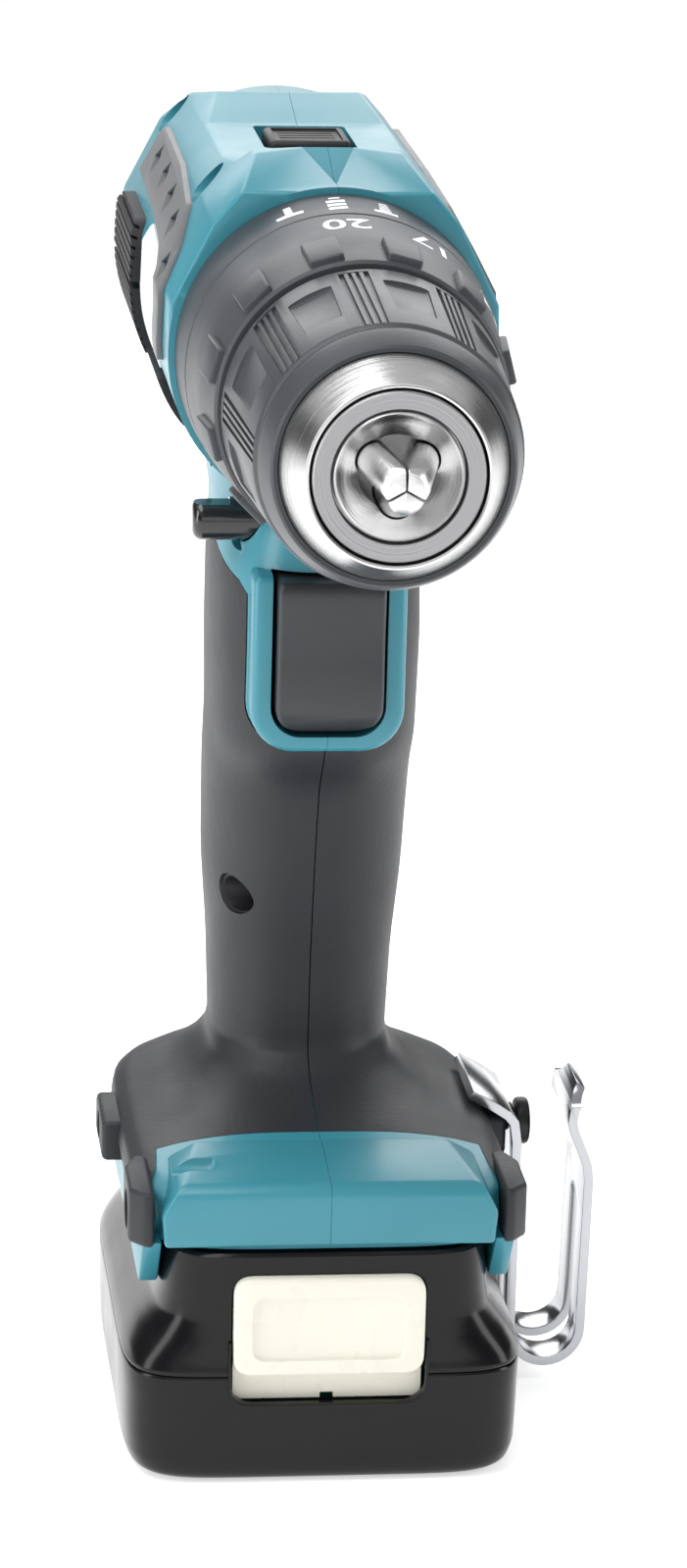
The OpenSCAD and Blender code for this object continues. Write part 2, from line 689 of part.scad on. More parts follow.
// One jaw of the chuck, k is 0 to 2
module jaw(k, grow = 0, extra = 0) {
  translate([0, jaw_tip_y, axis_z]) rotate([0, k * 120 + 90, 0]) translate([jaw_tip_r, 0, 0])
    rotate([-90, 0, -jaw_lean]) cylinder(r = jaw_r + grow, h = jaw_len + extra, $fn = 48);
}
module jaw_piece(k) {
  color(metal) intersection() {
    jaw(k);
    // the grip face: a 120 degree wedge that stops short of its neighbours
    translate([0, 0, axis_z]) rotate([0, k * 120 + 90, 0])
      translate([0.15, 0, 0]) rotate([-90, 0, 0]) linear_extrude(300, center = true)
      polygon([[0, 0], [30, 50], [60, 0], [30, -50]]);
    turned([[0, jaw_tip_y + 0.2], [2.6, jaw_tip_y + 0.2], [4.4, jaw_tip_y + 2.2], [20, jaw_tip_y + 5],
      [20, 0], [0, 0]]);
  }
}
module jaw_1() { jaw_piece(0); }
module jaw_2() { jaw_piece(1); }
module jaw_3() { jaw_piece(2); }

module chuck_body() {
  nut_seat = jaw_nut_y - 0.6;
  color(metal) difference() {
    turned([[0, nose_y], [chuck_bore_r, nose_y + 3.2], [8.4, nose_y + 0.8], [9.2, nose_y + 0.2],
      [chuck_body_r - 3, nose_y + 0.2], [chuck_body_r - 3, nose_y + 3], [chuck_body_r, nose_y + 3],
      [chuck_body_r, sleeve_rear_y - 1], [0, sleeve_rear_y - 1]]);
    disc_y(chuck_bore_r, nose_y - 1, nose_y + 28);
    disc_y(spindle_r + seat_fit, nose_y + 29.9, sleeve_rear_y);
    for (k = [0:2]) jaw(k, run_fit, 30);
  }
}
module chuck_front_plate() {
  color(steel) tube_y(chuck_body_r, chuck_body_r - 3 + seat_fit, nose_y, nose_y + 2.6);
}
module chuck_bevel_ring() {
  color(metal) turned([[chuck_body_r + run_fit, nose_y + 0.3], [chuck_body_r + 0.8, nose_y],
    [sleeve_front_r - 2.8, nose_y + bevel_len], [sleeve_front_r - 2.8, nose_y + bevel_len + 4],
    [chuck_body_r + run_fit, nose_y + bevel_len + 4]]);
}
module chuck_sleeve() {
  color(dark) difference() {
    union() {
      turned([[sleeve_front_r - 2.8 + seat_fit, nose_y + bevel_len],
        [sleeve_front_r - 2.2, nose_y + bevel_len], [sleeve_front_r, sleeve_front_y + 2],
        [sleeve_rear_r, sleeve_rear_y - 1.4], [sleeve_rear_r - 1.2, sleeve_rear_y],
        [sleeve_rear_r - sleeve_wall, sleeve_rear_y],
        [sleeve_front_r - 1.6, nose_y + bevel_len + 11],
        [sleeve_front_r - 2.8 + seat_fit, nose_y + bevel_len + 6]]);
      sleeve_ribs();
    }
    for (k = [0:sleeve_bands - 1]) translate([0, 0, axis_z])
      rotate([0, band_turn + (k + 0.5) * 360 / sleeve_bands, 0])
      translate([-4, sleeve_front_y + 9, sleeve_rear_r - 1.7]) cube([8, 11, 5]);
  }
}
// Three fine ribs between the panels of the sleeve
module sleeve_ribs() {
  for (k = [0:sleeve_bands - 1], m = [-1, 0, 1])
    translate([0, 0, axis_z]) rotate([0, band_turn + k * 360 / sleeve_bands + m * 3.1, 0])
    plate_x([[sleeve_front_y + 4, sleeve_front_r - 1], [sleeve_front_y + 5, sleeve_front_r + 0.6],
      [sleeve_rear_y - 4, sleeve_rear_r + 0.3], [sleeve_rear_y - 3, sleeve_rear_r - 1]],
      -0.4, 0.4);
}
module jaw_nut() {
  color(brass) turned([[13.5, jaw_nut_y], [sleeve_front_r - 2.8, jaw_nut_y],
    [sleeve_front_r - 2.8, jaw_nut_y + jaw_nut_len], [14.4, jaw_nut_y + jaw_nut_len]]);
}

module torque_ring() {
  color(dark) union() {
    turned([[gear_case_r + run_fit, torque_front_y + 2.4], [sleeve_rear_r - 1, torque_front_y],
      [torque_front_r - 0.6, torque_front_y], [torque_front_r, torque_front_y + 0.8],
      [ring_joint_r, torque_rear_y], [gear_case_r + run_fit, torque_rear_y]]);
    for (k = [0:torque_lugs - 1]) translate([0, 0, axis_z])
      rotate([0, (k + 0.5) * 360 / torque_lugs, 0])
      plate_x([[torque_front_y + 1.2, torque_front_r - 2],
        [torque_front_y + 2, torque_front_r + 1], [torque_front_y + 9.8, torque_front_r + 1.8],
        [torque_front_y + 10.8, torque_front_r - 1]], -2.8, 2.8);
  }
}
module mode_ring() {
  color(dark) turned([[gear_case_r + run_fit, mode_front_y], [ring_joint_r, mode_front_y],
    [ring_joint_r + 0.5, mode_front_y + mode_ring_len],
    [gear_case_r + run_fit, mode_front_y + mode_ring_len]]);
}

module speed_selector() {
  color(black) {
    difference() {
      box([-selector_half_w, selector_y, plate_z - 3], [selector_half_w, selector_y + selector_len,
        plate_z + 1]);
      for (g = [1:4]) box([-selector_half_w + 1.2, selector_y + g * 2.9, plate_z + 0.4],
        [selector_half_w - 1.2, selector_y + g * 2.9 + 1, plate_z + 2]);
    }
    box([-1.8, selector_y + 2, motor_r + axis_z + 0.8], [1.8, selector_y + 8, plate_z - 2.5]);
    box([-1.8, -1.5, motor_r + axis_z + 0.8], [1.8, selector_y + 8, motor_r + axis_z + 2.2]);
  }
}

module trigger() {
  z0 = trigger_z;
  z1 = trigger_z + trigger_h;
  y0 = trigger_front_y;
  color(dark) union() {
    intersection() {
      plate_x([[y0 + 3.5, z0], [y0 + 1, z0 + 2], [y0, z0 + 7], [y0 + 0.6, z0 + 16],
        [y0 + 0.2, z1 - 2], [y0 + 1.2, z1], [y0 + trigger_depth, z1],
        [y0 + trigger_depth, z0]], -trigger_half_w, trigger_half_w);
      trigger_frame(trigger_half_w, z0, z1, 5, y0 - 2, y0 + 30);
    }
    translate([0, y0 + trigger_depth - 1, z0 + 15]) rotate([-90, 0, 0])
      cylinder(r = 2.4, h = trigger_travel + 8, $fn = 48);
  }
}
// A coil spring of round wire along Y, as one swept body
module coil_y(r, wire_r, length, turns, origin) {
  steps = turns * 14;
  rim = 6;
  points = [for (s = [0:steps], k = [0:rim - 1])
    let (a = s * 360 * turns / steps, b = k * 360 / rim, q = r + wire_r * cos(b))
    [q * cos(a), wire_r + (length - 2 * wire_r) * s / steps + wire_r * sin(b), q * sin(a)]];
  faces = concat([[for (k = [0:rim - 1]) k]],
    [for (s = [0:steps - 1], k = [0:rim - 1]) let (n = (k + 1) % rim, a = s * rim)
      [a + k, a + rim + k, a + rim + n]],
    [for (s = [0:steps - 1], k = [0:rim - 1]) let (n = (k + 1) % rim, a = s * rim)
      [a + k, a + rim + n, a + n]],
    [[for (k = [rim - 1:-1:0]) steps * rim + k]]);
  translate(origin) polyhedron(points = points, faces = faces);
}
module trigger_spring() {
  color(metal) coil_y(3.6, 0.35, trigger_travel + run_fit - 0.4, 4,
    [0, trigger_front_y + trigger_depth + 0.2, trigger_z + 15]);
}
module reversing_button() {
  x1 = reversing_start_x + reversing_len;
  color(black) difference() {
    union() {
      rod_x(reversing_r, reversing_start_x + 1.2, x1 - 1.2, reversing_y, reversing_z);
      rod_x(reversing_r - 0.8, reversing_start_x, x1, reversing_y, reversing_z);
    }
    rod_x(1, reversing_start_x - 1, reversing_start_x + 0.5, reversing_y, reversing_z);
  }
}

module terminal_block() {
  color(black) {
    box([-15, 3.5, foot_z + 1], [15, foot_screws[1][0] - boss_r - 1, foot_z + 6]);
    for (x = [-9, 0, 9]) box([x - 0.5, 8, foot_z - 4], [x + 0.5, 26, foot_z + 1.5]);
  }
}
module hook_inserts() {
  color(brass) for (m = [0, 1]) mirror([m, 0, 0]) difference() {
    rod_x(insert_r, foot_half_w - 8, foot_half_w - 8 + insert_len, insert_y, insert_z);
    rod_x(insert_bore_r, foot_half_w - 9, foot_half_w + 2, insert_y, insert_z);
  }
}
// The strip of the hook as an outline: the path's points with half the thickness to each side
function unit2(v) = v / norm(v);
function left_of(v) = [-v[1], v[0]];
function path_normal(path, i) = left_of(unit2(
  path[min(i + 1, len(path) - 1)] - path[max(i - 1, 0)]));
module strip(path, t, y0, y1) {
  n = len(path);
  plate_y(concat([for (i = [0:n - 1]) path[i] + path_normal(path, i) * t / 2],
    [for (i = [n - 1:-1:0]) path[i] - path_normal(path, i) * t / 2]), y0, y1);
}
module belt_hook() {
  leg_x = foot_half_w + 1.6;
  bend_z = hook_bend_r + 3.4;
  path = concat([[leg_x - 8, foot_z + 11.6], [leg_x - 4, foot_z + 9.4], [leg_x - 0.8, foot_z + 6.6],
    [leg_x, foot_z + 3], [leg_x, bend_z + 4]],
    [for (a = [180:15:360]) [leg_x + hook_bend_r + hook_bend_r * cos(a),
      bend_z + hook_bend_r * sin(a)]],
    [[leg_x + 2 * hook_bend_r + 0.5, foot_z - 4], [leg_x + 2 * hook_bend_r - 0.4, foot_z],
      [leg_x + 2 * hook_bend_r - 2.6, foot_z + 6], [leg_x + 2 * hook_bend_r - 1.8, foot_z + 9],
      [leg_x + 2 * hook_bend_r - 0.6, foot_z + 11.5]]);
  y0 = insert_y - hook_w / 2;
  color(metal) difference() {
    strip(path, hook_t, y0, y0 + hook_w);
    box([leg_x - 3, insert_y - 3, -1], [leg_x + 30, insert_y + 3, foot_z - 8]);
    rod_x(2.2, leg_x - 10, leg_x + 4, insert_y, insert_z);
  }
}
module hook_screw() {
  leg_x = foot_half_w + 1.6 + hook_t / 2;
  color(black) difference() {
    union() {
      rod_x(4, leg_x + 0.02, leg_x + 2.4, insert_y, insert_z);
      rod_x(insert_bore_r - 0.05, foot_half_w - 7, leg_x + 1, insert_y, insert_z);
    }
    box([leg_x + 1.4, insert_y - 3, insert_z - 0.5], [leg_x + 4, insert_y + 3, insert_z + 0.5]);
  }
}

// Battery
lower_slices = [
  [0, front_y + 3, back_y - 3, half_w - 3, 8],
  [1.2, front_y + 1.3, back_y - 1.3, half_w - 1.3, 8],
  [4, front_y + 0.5, back_y - 0.5, half_w - 0.5, 8],
  [lower_case_h, front_y, back_y, half_w, 8]];
upper_slices = [
  [lower_case_h + 0.1, front_y, back_y, half_w, 8],
  [lower_case_h + 2, front_y + 0.3, back_y - 0.3, half_w - 0.3, 8],
  [lower_case_h + 4.5, front_y + 0.8, back_y - 0.4, half_w - 2.6, 7],
  [lower_case_h + 8, front_y + 1, back_y - 0.5, half_w - 4.8, 6.4],
  [lower_case_h + 12, front_y + 1.2, back_y - 0.6, half_w - 5.9, 6],
  [battery_h, front_y + 1.6, back_y - 0.8, deck_half_w, 6]];
// Opening for the release button in the front of both cases
module release_opening(grow) {
  box([-release_w / 2 - grow, front_y - 4, release_z - release_lip_h - grow],
    [release_w / 2 + grow, front_y + 9, release_z + release_h + grow]);
}
module battery_lower_case() {
  color(black) difference() {
    loft(lower_slices);
    translate([0, 0, battery_wall]) loft([for (s = lower_slices)
      [s[0] * 1.2, s[1], s[2], s[3], s[4] + 1]], battery_wall);
    release_opening(run_fit);
    for (x = [-1, 1], y = [-1, 1]) translate([x * 24, y * 30, -1])
      cylinder(r = 2.9, h = 1.6 + 0.4, $fn = 48);
  }
}
module battery_upper_case() {
  color(black) difference() {
    loft(upper_slices);
    loft([for (i = [0:len(upper_slices) - 1]) let (s = upper_slices[i])
      [s[0] + (i == 0 ? -1 : -battery_wall), s[1], s[2], s[3], s[4]]], battery_wall);
    release_opening(run_fit);
    // rail grooves, open at the back
    for (m = [0, 1]) mirror([m, 0, 0])
      box([deck_half_w - rail_depth - 0.1, foot_front_y + 11, rail_z - battery_gap],
        [deck_half_w + 4, back_y + 1, rail_z + rail_h + battery_gap]);
    // contact slots in the deck, open at the back
    for (x = [-9, 0, 9]) box([x - 1.1, 7, foot_z - 5], [x + 1.1, back_y + 1, battery_h + 1]);
  }
}
module battery_cells() {
  color([0.25, 0.45, 0.35]) for (k = [-1, 0, 1])
    translate([k * cell_pitch, -cell_len / 2 + 2.6, battery_wall + cell_r + 1])
    rotate([-90, 0, 0]) cylinder(r = cell_r, h = cell_len, $fn = 64);
}
module battery_terminals() {
  color(brass) for (x = [-9, 0, 9], m = [-1, 1])
    box([x + (m > 0 ? 1.3 : -1.8), 10, foot_z - 9], [x + (m > 0 ? 1.8 : -1.3), 24, foot_z - 3]);
}
module battery_screws() {
  color(steel) for (x = [-1, 1], y = [-1, 1]) translate([x * 24, y * 30, 0.3]) difference() {
    cylinder(r = 2.8, h = 0.65, $fn = 48);
    translate([0, 0, -0.1]) cylinder(r = 1.2, h = 0.5, $fn = 6);
  }
}
module release_button() {
  y0 = front_y - 0.5;
  w = release_w / 2;
  color(cream) union() {
    difference() {
      plate_y([[-w + 3, release_z], [w - 3, release_z], [w, release_z + 3],
        [w, release_z + release_h - 3], [w - 3, release_z + release_h],
        [-w + 3, release_z + release_h], [-w, release_z + release_h - 3], [-w, release_z + 3]],
        y0, y0 + 4.5);
      box([-w + 2, y0 - 1, release_z + 2], [w - 2, y0 + 0.6, release_z + release_h - 2]);
    }
    box([-w + 0.5, y0 + 2.4, release_z - release_lip_h], [w - 0.5, y0 + 4.5, release_z + 4]);
  }
}
module release_springs() {
  color(metal) for (x = [-9, 9]) coil_y(2, 0.3, release_travel + 1, 4,
    [x, front_y + 4.3, release_z + 12]);
}

housing_right();
housing_left();
grip_rubber_right();
grip_rubber_left();
bumper_right();
bumper_left();
vent_trim_right();
vent_trim_left();
label_plate_right();
label_plate_left();
housing_screws();
lamp_lens();
lamp_board();
switch_body();
motor_can();
motor_magnets();
motor_end_cap();
motor_brushes();
motor_bearings();
rotor();
motor_pinion();
cooling_fan();
gear_case();
ring_gear();
first_carrier();
first_planets();
second_planets();
output_spindle();
spindle_bearing();
chuck_body();
chuck_front_plate();
chuck_bevel_ring();
chuck_sleeve();
jaw_nut();
jaw_1();
jaw_2();
jaw_3();
torque_ring();
mode_ring();
clutch_spring();
speed_selector();
trigger();
trigger_spring();
reversing_button();
terminal_block();
hook_inserts();
belt_hook();
hook_screw();
battery_lower_case();
battery_upper_case();
battery_cells();
battery_terminals();
battery_screws();
release_button();
release_springs();
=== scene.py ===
# %% [markdown]
# # A compact cordless hammer driver-drill
# The drill stands on its slim battery. The chuck points to -Y, Z is up and the belt hook is at +X.
# Its design, with every inner part, is loaded first as a fixed frame. Each visible piece is then
# made again over it with finer forms and finishes, in the same place and at the same size.
# %% Load the frame
import json
import math

import bmesh
import bpy
from mathutils import Matrix, Vector
from mathutils.kdtree import KDTree


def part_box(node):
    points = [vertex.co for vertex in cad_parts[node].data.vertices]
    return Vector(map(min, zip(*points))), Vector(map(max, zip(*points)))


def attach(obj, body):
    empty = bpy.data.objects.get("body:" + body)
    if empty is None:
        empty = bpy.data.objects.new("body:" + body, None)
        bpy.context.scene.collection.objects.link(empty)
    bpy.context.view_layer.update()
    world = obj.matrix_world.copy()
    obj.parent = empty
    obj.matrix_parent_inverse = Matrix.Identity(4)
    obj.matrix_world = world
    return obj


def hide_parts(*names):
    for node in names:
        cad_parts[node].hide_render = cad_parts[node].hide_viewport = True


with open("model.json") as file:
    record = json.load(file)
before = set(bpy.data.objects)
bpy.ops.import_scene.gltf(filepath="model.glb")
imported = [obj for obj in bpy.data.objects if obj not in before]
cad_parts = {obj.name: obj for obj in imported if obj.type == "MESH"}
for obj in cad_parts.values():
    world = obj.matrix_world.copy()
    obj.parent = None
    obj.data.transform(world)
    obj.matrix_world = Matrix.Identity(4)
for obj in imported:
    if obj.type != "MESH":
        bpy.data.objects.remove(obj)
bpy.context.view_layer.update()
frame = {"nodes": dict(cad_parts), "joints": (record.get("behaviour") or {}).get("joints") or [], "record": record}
mm = 0.001
joints = {joint["name"]: joint for joint in frame["joints"]}
axis_z = joints["chuck_spin"]["pos_m"][2]


# %% [markdown]
# ## The camera
# The view is from the front, a little from the drill's right and above, through a long lens, so
# that the chuck looms over the grip without much distortion.
# %% Camera
def look_along(azimuth, elevation, roll):
    """The camera's turn: azimuth and elevation of the place it looks from, and its roll."""
    back = Vector((math.sin(azimuth) * math.cos(elevation), -math.cos(azimuth) * math.cos(elevation),
                   math.sin(elevation)))
    right = (-back).cross(Vector((0, 0, 1))).normalized()
    up = right.cross(-back)
    turned_right = right * math.cos(roll) + up * math.sin(roll)
    turned_up = up * math.cos(roll) - right * math.sin(roll)
    return Matrix((turned_right, turned_up, back)).transposed()


camera_data = bpy.data.cameras.new("camera")
camera = bpy.data.objects.new("camera", camera_data)
bpy.context.scene.collection.objects.link(camera)
camera_data.lens = 121.3
camera_data.sensor_width = 36
camera_data.shift_y = 0.0132
camera_data.clip_end = 20
camera.matrix_world = Matrix.Translation((-0.0933, -0.8221, 0.3517)) @ look_along(
    math.radians(-6.79), math.radians(16.71), math.radians(1.58)).to_4x4()
bpy.context.scene.camera = camera
print("camera at", tuple(round(v, 3) for v in camera.location))

# %% [markdown]
# ## Floor and light
# A plain pale floor, and broad soft lamps: one overhead, one at each side
# and one low in front, as round a product table. Broad lamps give the gloss plastics and the
# bright steel long soft highlights.
# %% Floor
bpy.ops.object.select_all(action="DESELECT")
bpy.ops.mesh.primitive_plane_add(size=6, location=(0, 0, 0))
floor = bpy.context.object
floor.name = "studio_floor"
floor_finish = bpy.data.materials.new("studio_white")
floor_finish.use_nodes = True
floor_shader = floor_finish.node_tree.nodes["Principled BSDF"]
floor_shader.inputs["Base Color"].default_value = (0.93, 0.93, 0.93, 1)
floor_shader.inputs["Roughness"].default_value = 0.9
floor_shader.inputs["Emission Color"].default_value = (1, 1, 1, 1)
floor_shader.inputs["Emission Strength"].default_value = 0.55
floor.data.materials.append(floor_finish)


# %% Lamps
def softbox(name, place, target, size, power, colour=(1, 1, 1)):
    """A square area lamp at place that faces target."""
    data = bpy.data.lights.new(name, "AREA")
    data.shape = "RECTANGLE"
    data.size, data.size_y = size
    data.energy = power
    data.color = colour
    lamp = bpy.data.objects.new(name, data)
    lamp.location = place
    lamp.rotation_euler = (Vector(target) - Vector(place)).to_track_quat("-Z", "Y").to_euler()
    bpy.context.scene.collection.objects.link(lamp)


middle = (0, 0, 0.12)
softbox("top_lamp", (-0.30, -0.15, 0.95), middle, (0.7, 0.7), 5.8)
softbox("left_lamp", (-0.85, -0.25, 0.30), middle, (0.3, 0.8), 4.2)
softbox("right_lamp", (0.85, -0.15, 0.30), middle, (0.3, 0.8), 3.2)
softbox("front_lamp", (-0.1, -1.3, 0.36), middle, (0.9, 0.4), 1.7)
softbox("back_lamp", (0.1, 0.9, 0.55), middle, (0.9, 0.6), 4)
world = bpy.data.worlds.new("studio")
bpy.context.scene.world = world
world.use_nodes = True
sky = world.node_tree.nodes["Background"]
sky.inputs["Strength"].default_value = 0.55
height = world.node_tree.nodes.new("ShaderNodeSeparateXYZ")
world.node_tree.links.new(world.node_tree.nodes.new("ShaderNodeTexCoord").outputs["Generated"],
                          height.inputs["Vector"])
bands = world.node_tree.nodes.new("ShaderNodeValToRGB")
for place, shade in ((0.0, 0.9), (0.04, 0.09), (0.33, 0.13), (0.46, 0.9), (1.0, 1.0)):
    step = bands.color_ramp.elements.new(place) if 0 < place < 1 else \
        bands.color_ramp.elements[0 if place == 0 else -1]
    step.color = (shade, shade, shade, 1)
world.node_tree.links.new(height.outputs["Z"], bands.inputs["Fac"])
world.node_tree.links.new(bands.outputs["Color"], sky.inputs["Color"])
bpy.context.scene.view_settings.view_transform = "Standard"


# %% [markdown]
# ## Finishes
# Every finish starts from the same few ingredients: a base colour that drifts a little over the
# surface, a fine grain as bump, and a gloss that varies as handling leaves it. All of them read
# the piece's own coordinates, so nothing slides when a part moves.
# %% A finish maker
def finish(name, colour, rough, metal=0.0, drift=0.06, grain=900, relief=0.15, smudge=0.08,
           coat=0.0, specular=0.5, turned_metal=False):
    """A procedural material: drifting colour, fine grain and uneven gloss."""
    material = bpy.data.materials.new(name)
    material.use_nodes = True
    nodes, links = material.node_tree.nodes, material.node_tree.links
    shader = nodes["Principled BSDF"]
    shader.inputs["Metallic"].default_value = metal
    shader.inputs["Coat Weight"].default_value = coat
    shader.inputs["Coat Roughness"].default_value = 0.12
    shader.inputs["Specular IOR Level"].default_value = specular
    place = nodes.new("ShaderNodeTexCoord").outputs["Object"]
    if turned_metal:
        place = rings_round_spindle(nodes, links, place)
    wide = noise(nodes, links, place, 34, 3)
    mix = nodes.new("ShaderNodeMix")
    mix.data_type = "RGBA"
    mix.inputs["A"].default_value = tuple(c * (1 - drift) for c in colour) + (1,)
    mix.inputs["B"].default_value = tuple(min(1, c * (1 + drift)) for c in colour) + (1,)
    links.new(wide, mix.inputs["Factor"])
    links.new(mix.outputs["Result"], shader.inputs["Base Color"])
    gloss = nodes.new("ShaderNodeMapRange")
    gloss.inputs["To Min"].default_value = max(0.02, rough - smudge)
    gloss.inputs["To Max"].default_value = min(1, rough + smudge)
    links.new(noise(nodes, links, place, 90, 4), gloss.inputs["Value"])
    links.new(gloss.outputs["Result"], shader.inputs["Roughness"])
    bump = nodes.new("ShaderNodeBump")
    bump.inputs["Strength"].default_value = relief
    bump.inputs["Distance"].default_value = 0.0002
    links.new(noise(nodes, links, place, grain, 2), bump.inputs["Height"])
    links.new(bump.outputs["Normal"], shader.inputs["Normal"])
    return material


def noise(nodes, links, place, scale, detail):
    texture = nodes.new("ShaderNodeTexNoise")
    texture.inputs["Scale"].default_value = scale
    texture.inputs["Detail"].default_value = detail
    links.new(place, texture.inputs["Vector"])
    return texture.outputs["Fac"]


def rings_round_spindle(nodes, links, place):
    """Coordinates that repeat round the spindle axis, for the fine circles that turning leaves."""
    shift = nodes.new("ShaderNodeVectorMath")
    shift.operation = "SUBTRACT"
    shift.inputs[1].default_value = (0, 0, axis_z)
    links.new(place, shift.inputs[0])
    split = nodes.new("ShaderNodeSeparateXYZ")
    links.new(shift.outputs["Vector"], split.inputs["Vector"])
    across = nodes.new("ShaderNodeCombineXYZ")
    links.new(split.outputs["X"], across.inputs["X"])
    links.new(split.outputs["Z"], across.inputs["Z"])
    radius = nodes.new("ShaderNodeVectorMath")
    radius.operation = "LENGTH"
    links.new(across.outputs["Vector"], radius.inputs[0])
    rings = nodes.new("ShaderNodeCombineXYZ")
    links.new(radius.outputs["Value"], rings.inputs["X"])
    links.new(split.outputs["Y"], rings.inputs["Y"])
    return rings.outputs["Vector"]


# %% The finishes of this drill
finishes = {
    "teal_plastic": finish("teal_moulding", (0.035, 0.235, 0.30), 0.36, relief=0.10, coat=0.1),
    "grip_rubber": finish("soft_grip", (0.022, 0.0235, 0.027), 0.50, relief=0.28, drift=0.12,
                          specular=0.36),
    "bumper_rubber": finish("bumper_rubber", (0.018, 0.018, 0.020), 0.62, relief=0.3, specular=0.35),
    "trim_plastic": finish("grey_trim", (0.13, 0.135, 0.14), 0.42),
    "label_film": finish("label_film", (0.80, 0.82, 0.83), 0.30, relief=0.05),
    "screw_steel": finish("black_screws", (0.03, 0.03, 0.032), 0.35, metal=0.8),
    "clear_lens": finish("lamp_lens_clear", (0.82, 0.88, 0.9), 0.08, relief=0.02),
    "circuit_board": finish("board_green", (0.02, 0.12, 0.05), 0.4),
    "black_plastic": finish("black_moulding", (0.014, 0.014, 0.016), 0.50, specular=0.35),
    "case_plastic": finish("battery_black", (0.006, 0.006, 0.007), 0.20, relief=0.05, specular=0.24),
    "button_plastic": finish("button_black", (0.012, 0.012, 0.013), 0.16, relief=0.04, coat=0.3),
    "cream_plastic": finish("cream_button", (0.78, 0.76, 0.66), 0.28, relief=0.05, drift=0.03),
    "ring_plastic": finish("ring_grey", (0.045, 0.049, 0.056), 0.44, relief=0.2, specular=0.4),
    "sleeve_plastic": finish("sleeve_grey", (0.050, 0.054, 0.061), 0.38, relief=0.14, specular=0.4),
    "plated_steel": finish("bright_plating", (0.44, 0.45, 0.47), 0.17, metal=1, relief=0.04,
                           smudge=0.04),
    "turned_steel": finish("turned_steel", (0.72, 0.72, 0.72), 0.24, metal=1, grain=5200,
                           relief=0.25, turned_metal=True),
    "dark_steel": finish("ground_steel", (0.36, 0.36, 0.37), 0.40, metal=1, grain=4200,
                         relief=0.3, turned_metal=True),
    "can_steel": finish("zinc_can", (0.52, 0.53, 0.55), 0.34, metal=1),
    "magnet_ferrite": finish("ferrite", (0.05, 0.05, 0.055), 0.6, metal=0.3),
    "lamination_steel": finish("laminations", (0.30, 0.28, 0.26), 0.45, metal=1),
    "contact_brass": finish("contact_brass", (0.72, 0.52, 0.22), 0.25, metal=1),
    "spring_steel": finish("spring_wire", (0.5, 0.5, 0.52), 0.3, metal=1),
    "cell_wrap": finish("cell_wrap", (0.05, 0.28, 0.18), 0.28),
    "trigger_plastic": finish("trigger_grey", (0.026, 0.028, 0.031), 0.40, relief=0.16),
}
for part in frame["record"]["subparts"]:
    node_object = frame["nodes"][part["node"]]
    node_object.data.materials.clear()
    node_object.data.materials.append(finishes[part["material_slot"]])
print("finishes:", len(finishes))


# %% [markdown]
# ## A few hand tools
# The same moves come back on every piece: start from a ring of points, extrude it, spin it, cut
# one form with another, soften the edges. Each is a short function here, so that the cells below
# can speak about the piece and not about the buttons.
# %% Selecting and finishing
def only(piece):
    """Leaves one object selected and active."""
    if bpy.context.object and bpy.context.object.mode != "OBJECT":
        bpy.ops.object.mode_set(mode="OBJECT")
    bpy.ops.object.select_all(action="DESELECT")
    piece.select_set(True)
    bpy.context.view_layer.objects.active = piece


def apply_modifier(piece, kind, **values):
    only(piece)
    modifier = piece.modifiers.new(kind.lower(), kind)
    for key, value in values.items():
        setattr(modifier, key, value)
    bpy.ops.object.modifier_apply(modifier=modifier.name)


def soften(piece, width, segments=2, angle=35):
    """Rounds the sharp edges of a piece, as a mould or a tumbling drum leaves them."""
    apply_modifier(piece, "BEVEL", width=width * mm, segments=segments, limit_method="ANGLE",
                   angle_limit=math.radians(angle), use_clamp_overlap=True)


def cut(piece, tool, how="DIFFERENCE", keep=False):
    """Cuts piece with tool, joins it to it, or keeps what they share, and mends the seam."""
    apply_modifier(piece, "BOOLEAN", operation=how, object=tool, solver="EXACT")
    bpy.ops.object.mode_set(mode="EDIT")
    bpy.ops.mesh.select_all(action="SELECT")
    bpy.ops.mesh.remove_doubles(threshold=0.000004)
    bpy.ops.mesh.dissolve_degenerate(threshold=0.000004)
    bpy.ops.object.mode_set(mode="OBJECT")
    if not keep:
        bpy.data.objects.remove(tool)
    return piece


def smooth(piece, angle=32):
    only(piece)
    bpy.ops.object.shade_smooth_by_angle(angle=math.radians(angle))


def clean(piece):
    """Merges doubled points and turns the faces outwards."""
    only(piece)
    bpy.ops.object.mode_set(mode="EDIT")
    bpy.ops.mesh.select_all(action="SELECT")
    bpy.ops.mesh.remove_doubles(threshold=0.00001)
    bpy.ops.mesh.normals_make_consistent(inside=False)
    bpy.ops.object.mode_set(mode="OBJECT")


def settle(piece, name, body, slot, *nodes, angle=32):
    """Names a finished piece, gives it its finish, and ties it to its body."""
    piece.name = name
    piece.data.name = name
    only(piece)
    bpy.ops.object.transform_apply(location=True, rotation=True, scale=True)
    smooth(piece, angle)
    piece.data.materials.clear()
    piece.data.materials.append(finishes[slot])
    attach(piece, body)
    if nodes:
        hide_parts(*nodes)
    form = bmesh.new()
    form.from_mesh(piece.data)
    open_edges = sum(not edge.is_manifold for edge in form.edges)
    form.free()
    print(f"{name}: {len(piece.data.polygons)} faces, {open_edges} open edges")
    return piece


def join(pieces):
    only(pieces[0])
    for other in pieces:
        other.select_set(True)
    bpy.ops.object.join()
    return bpy.context.object


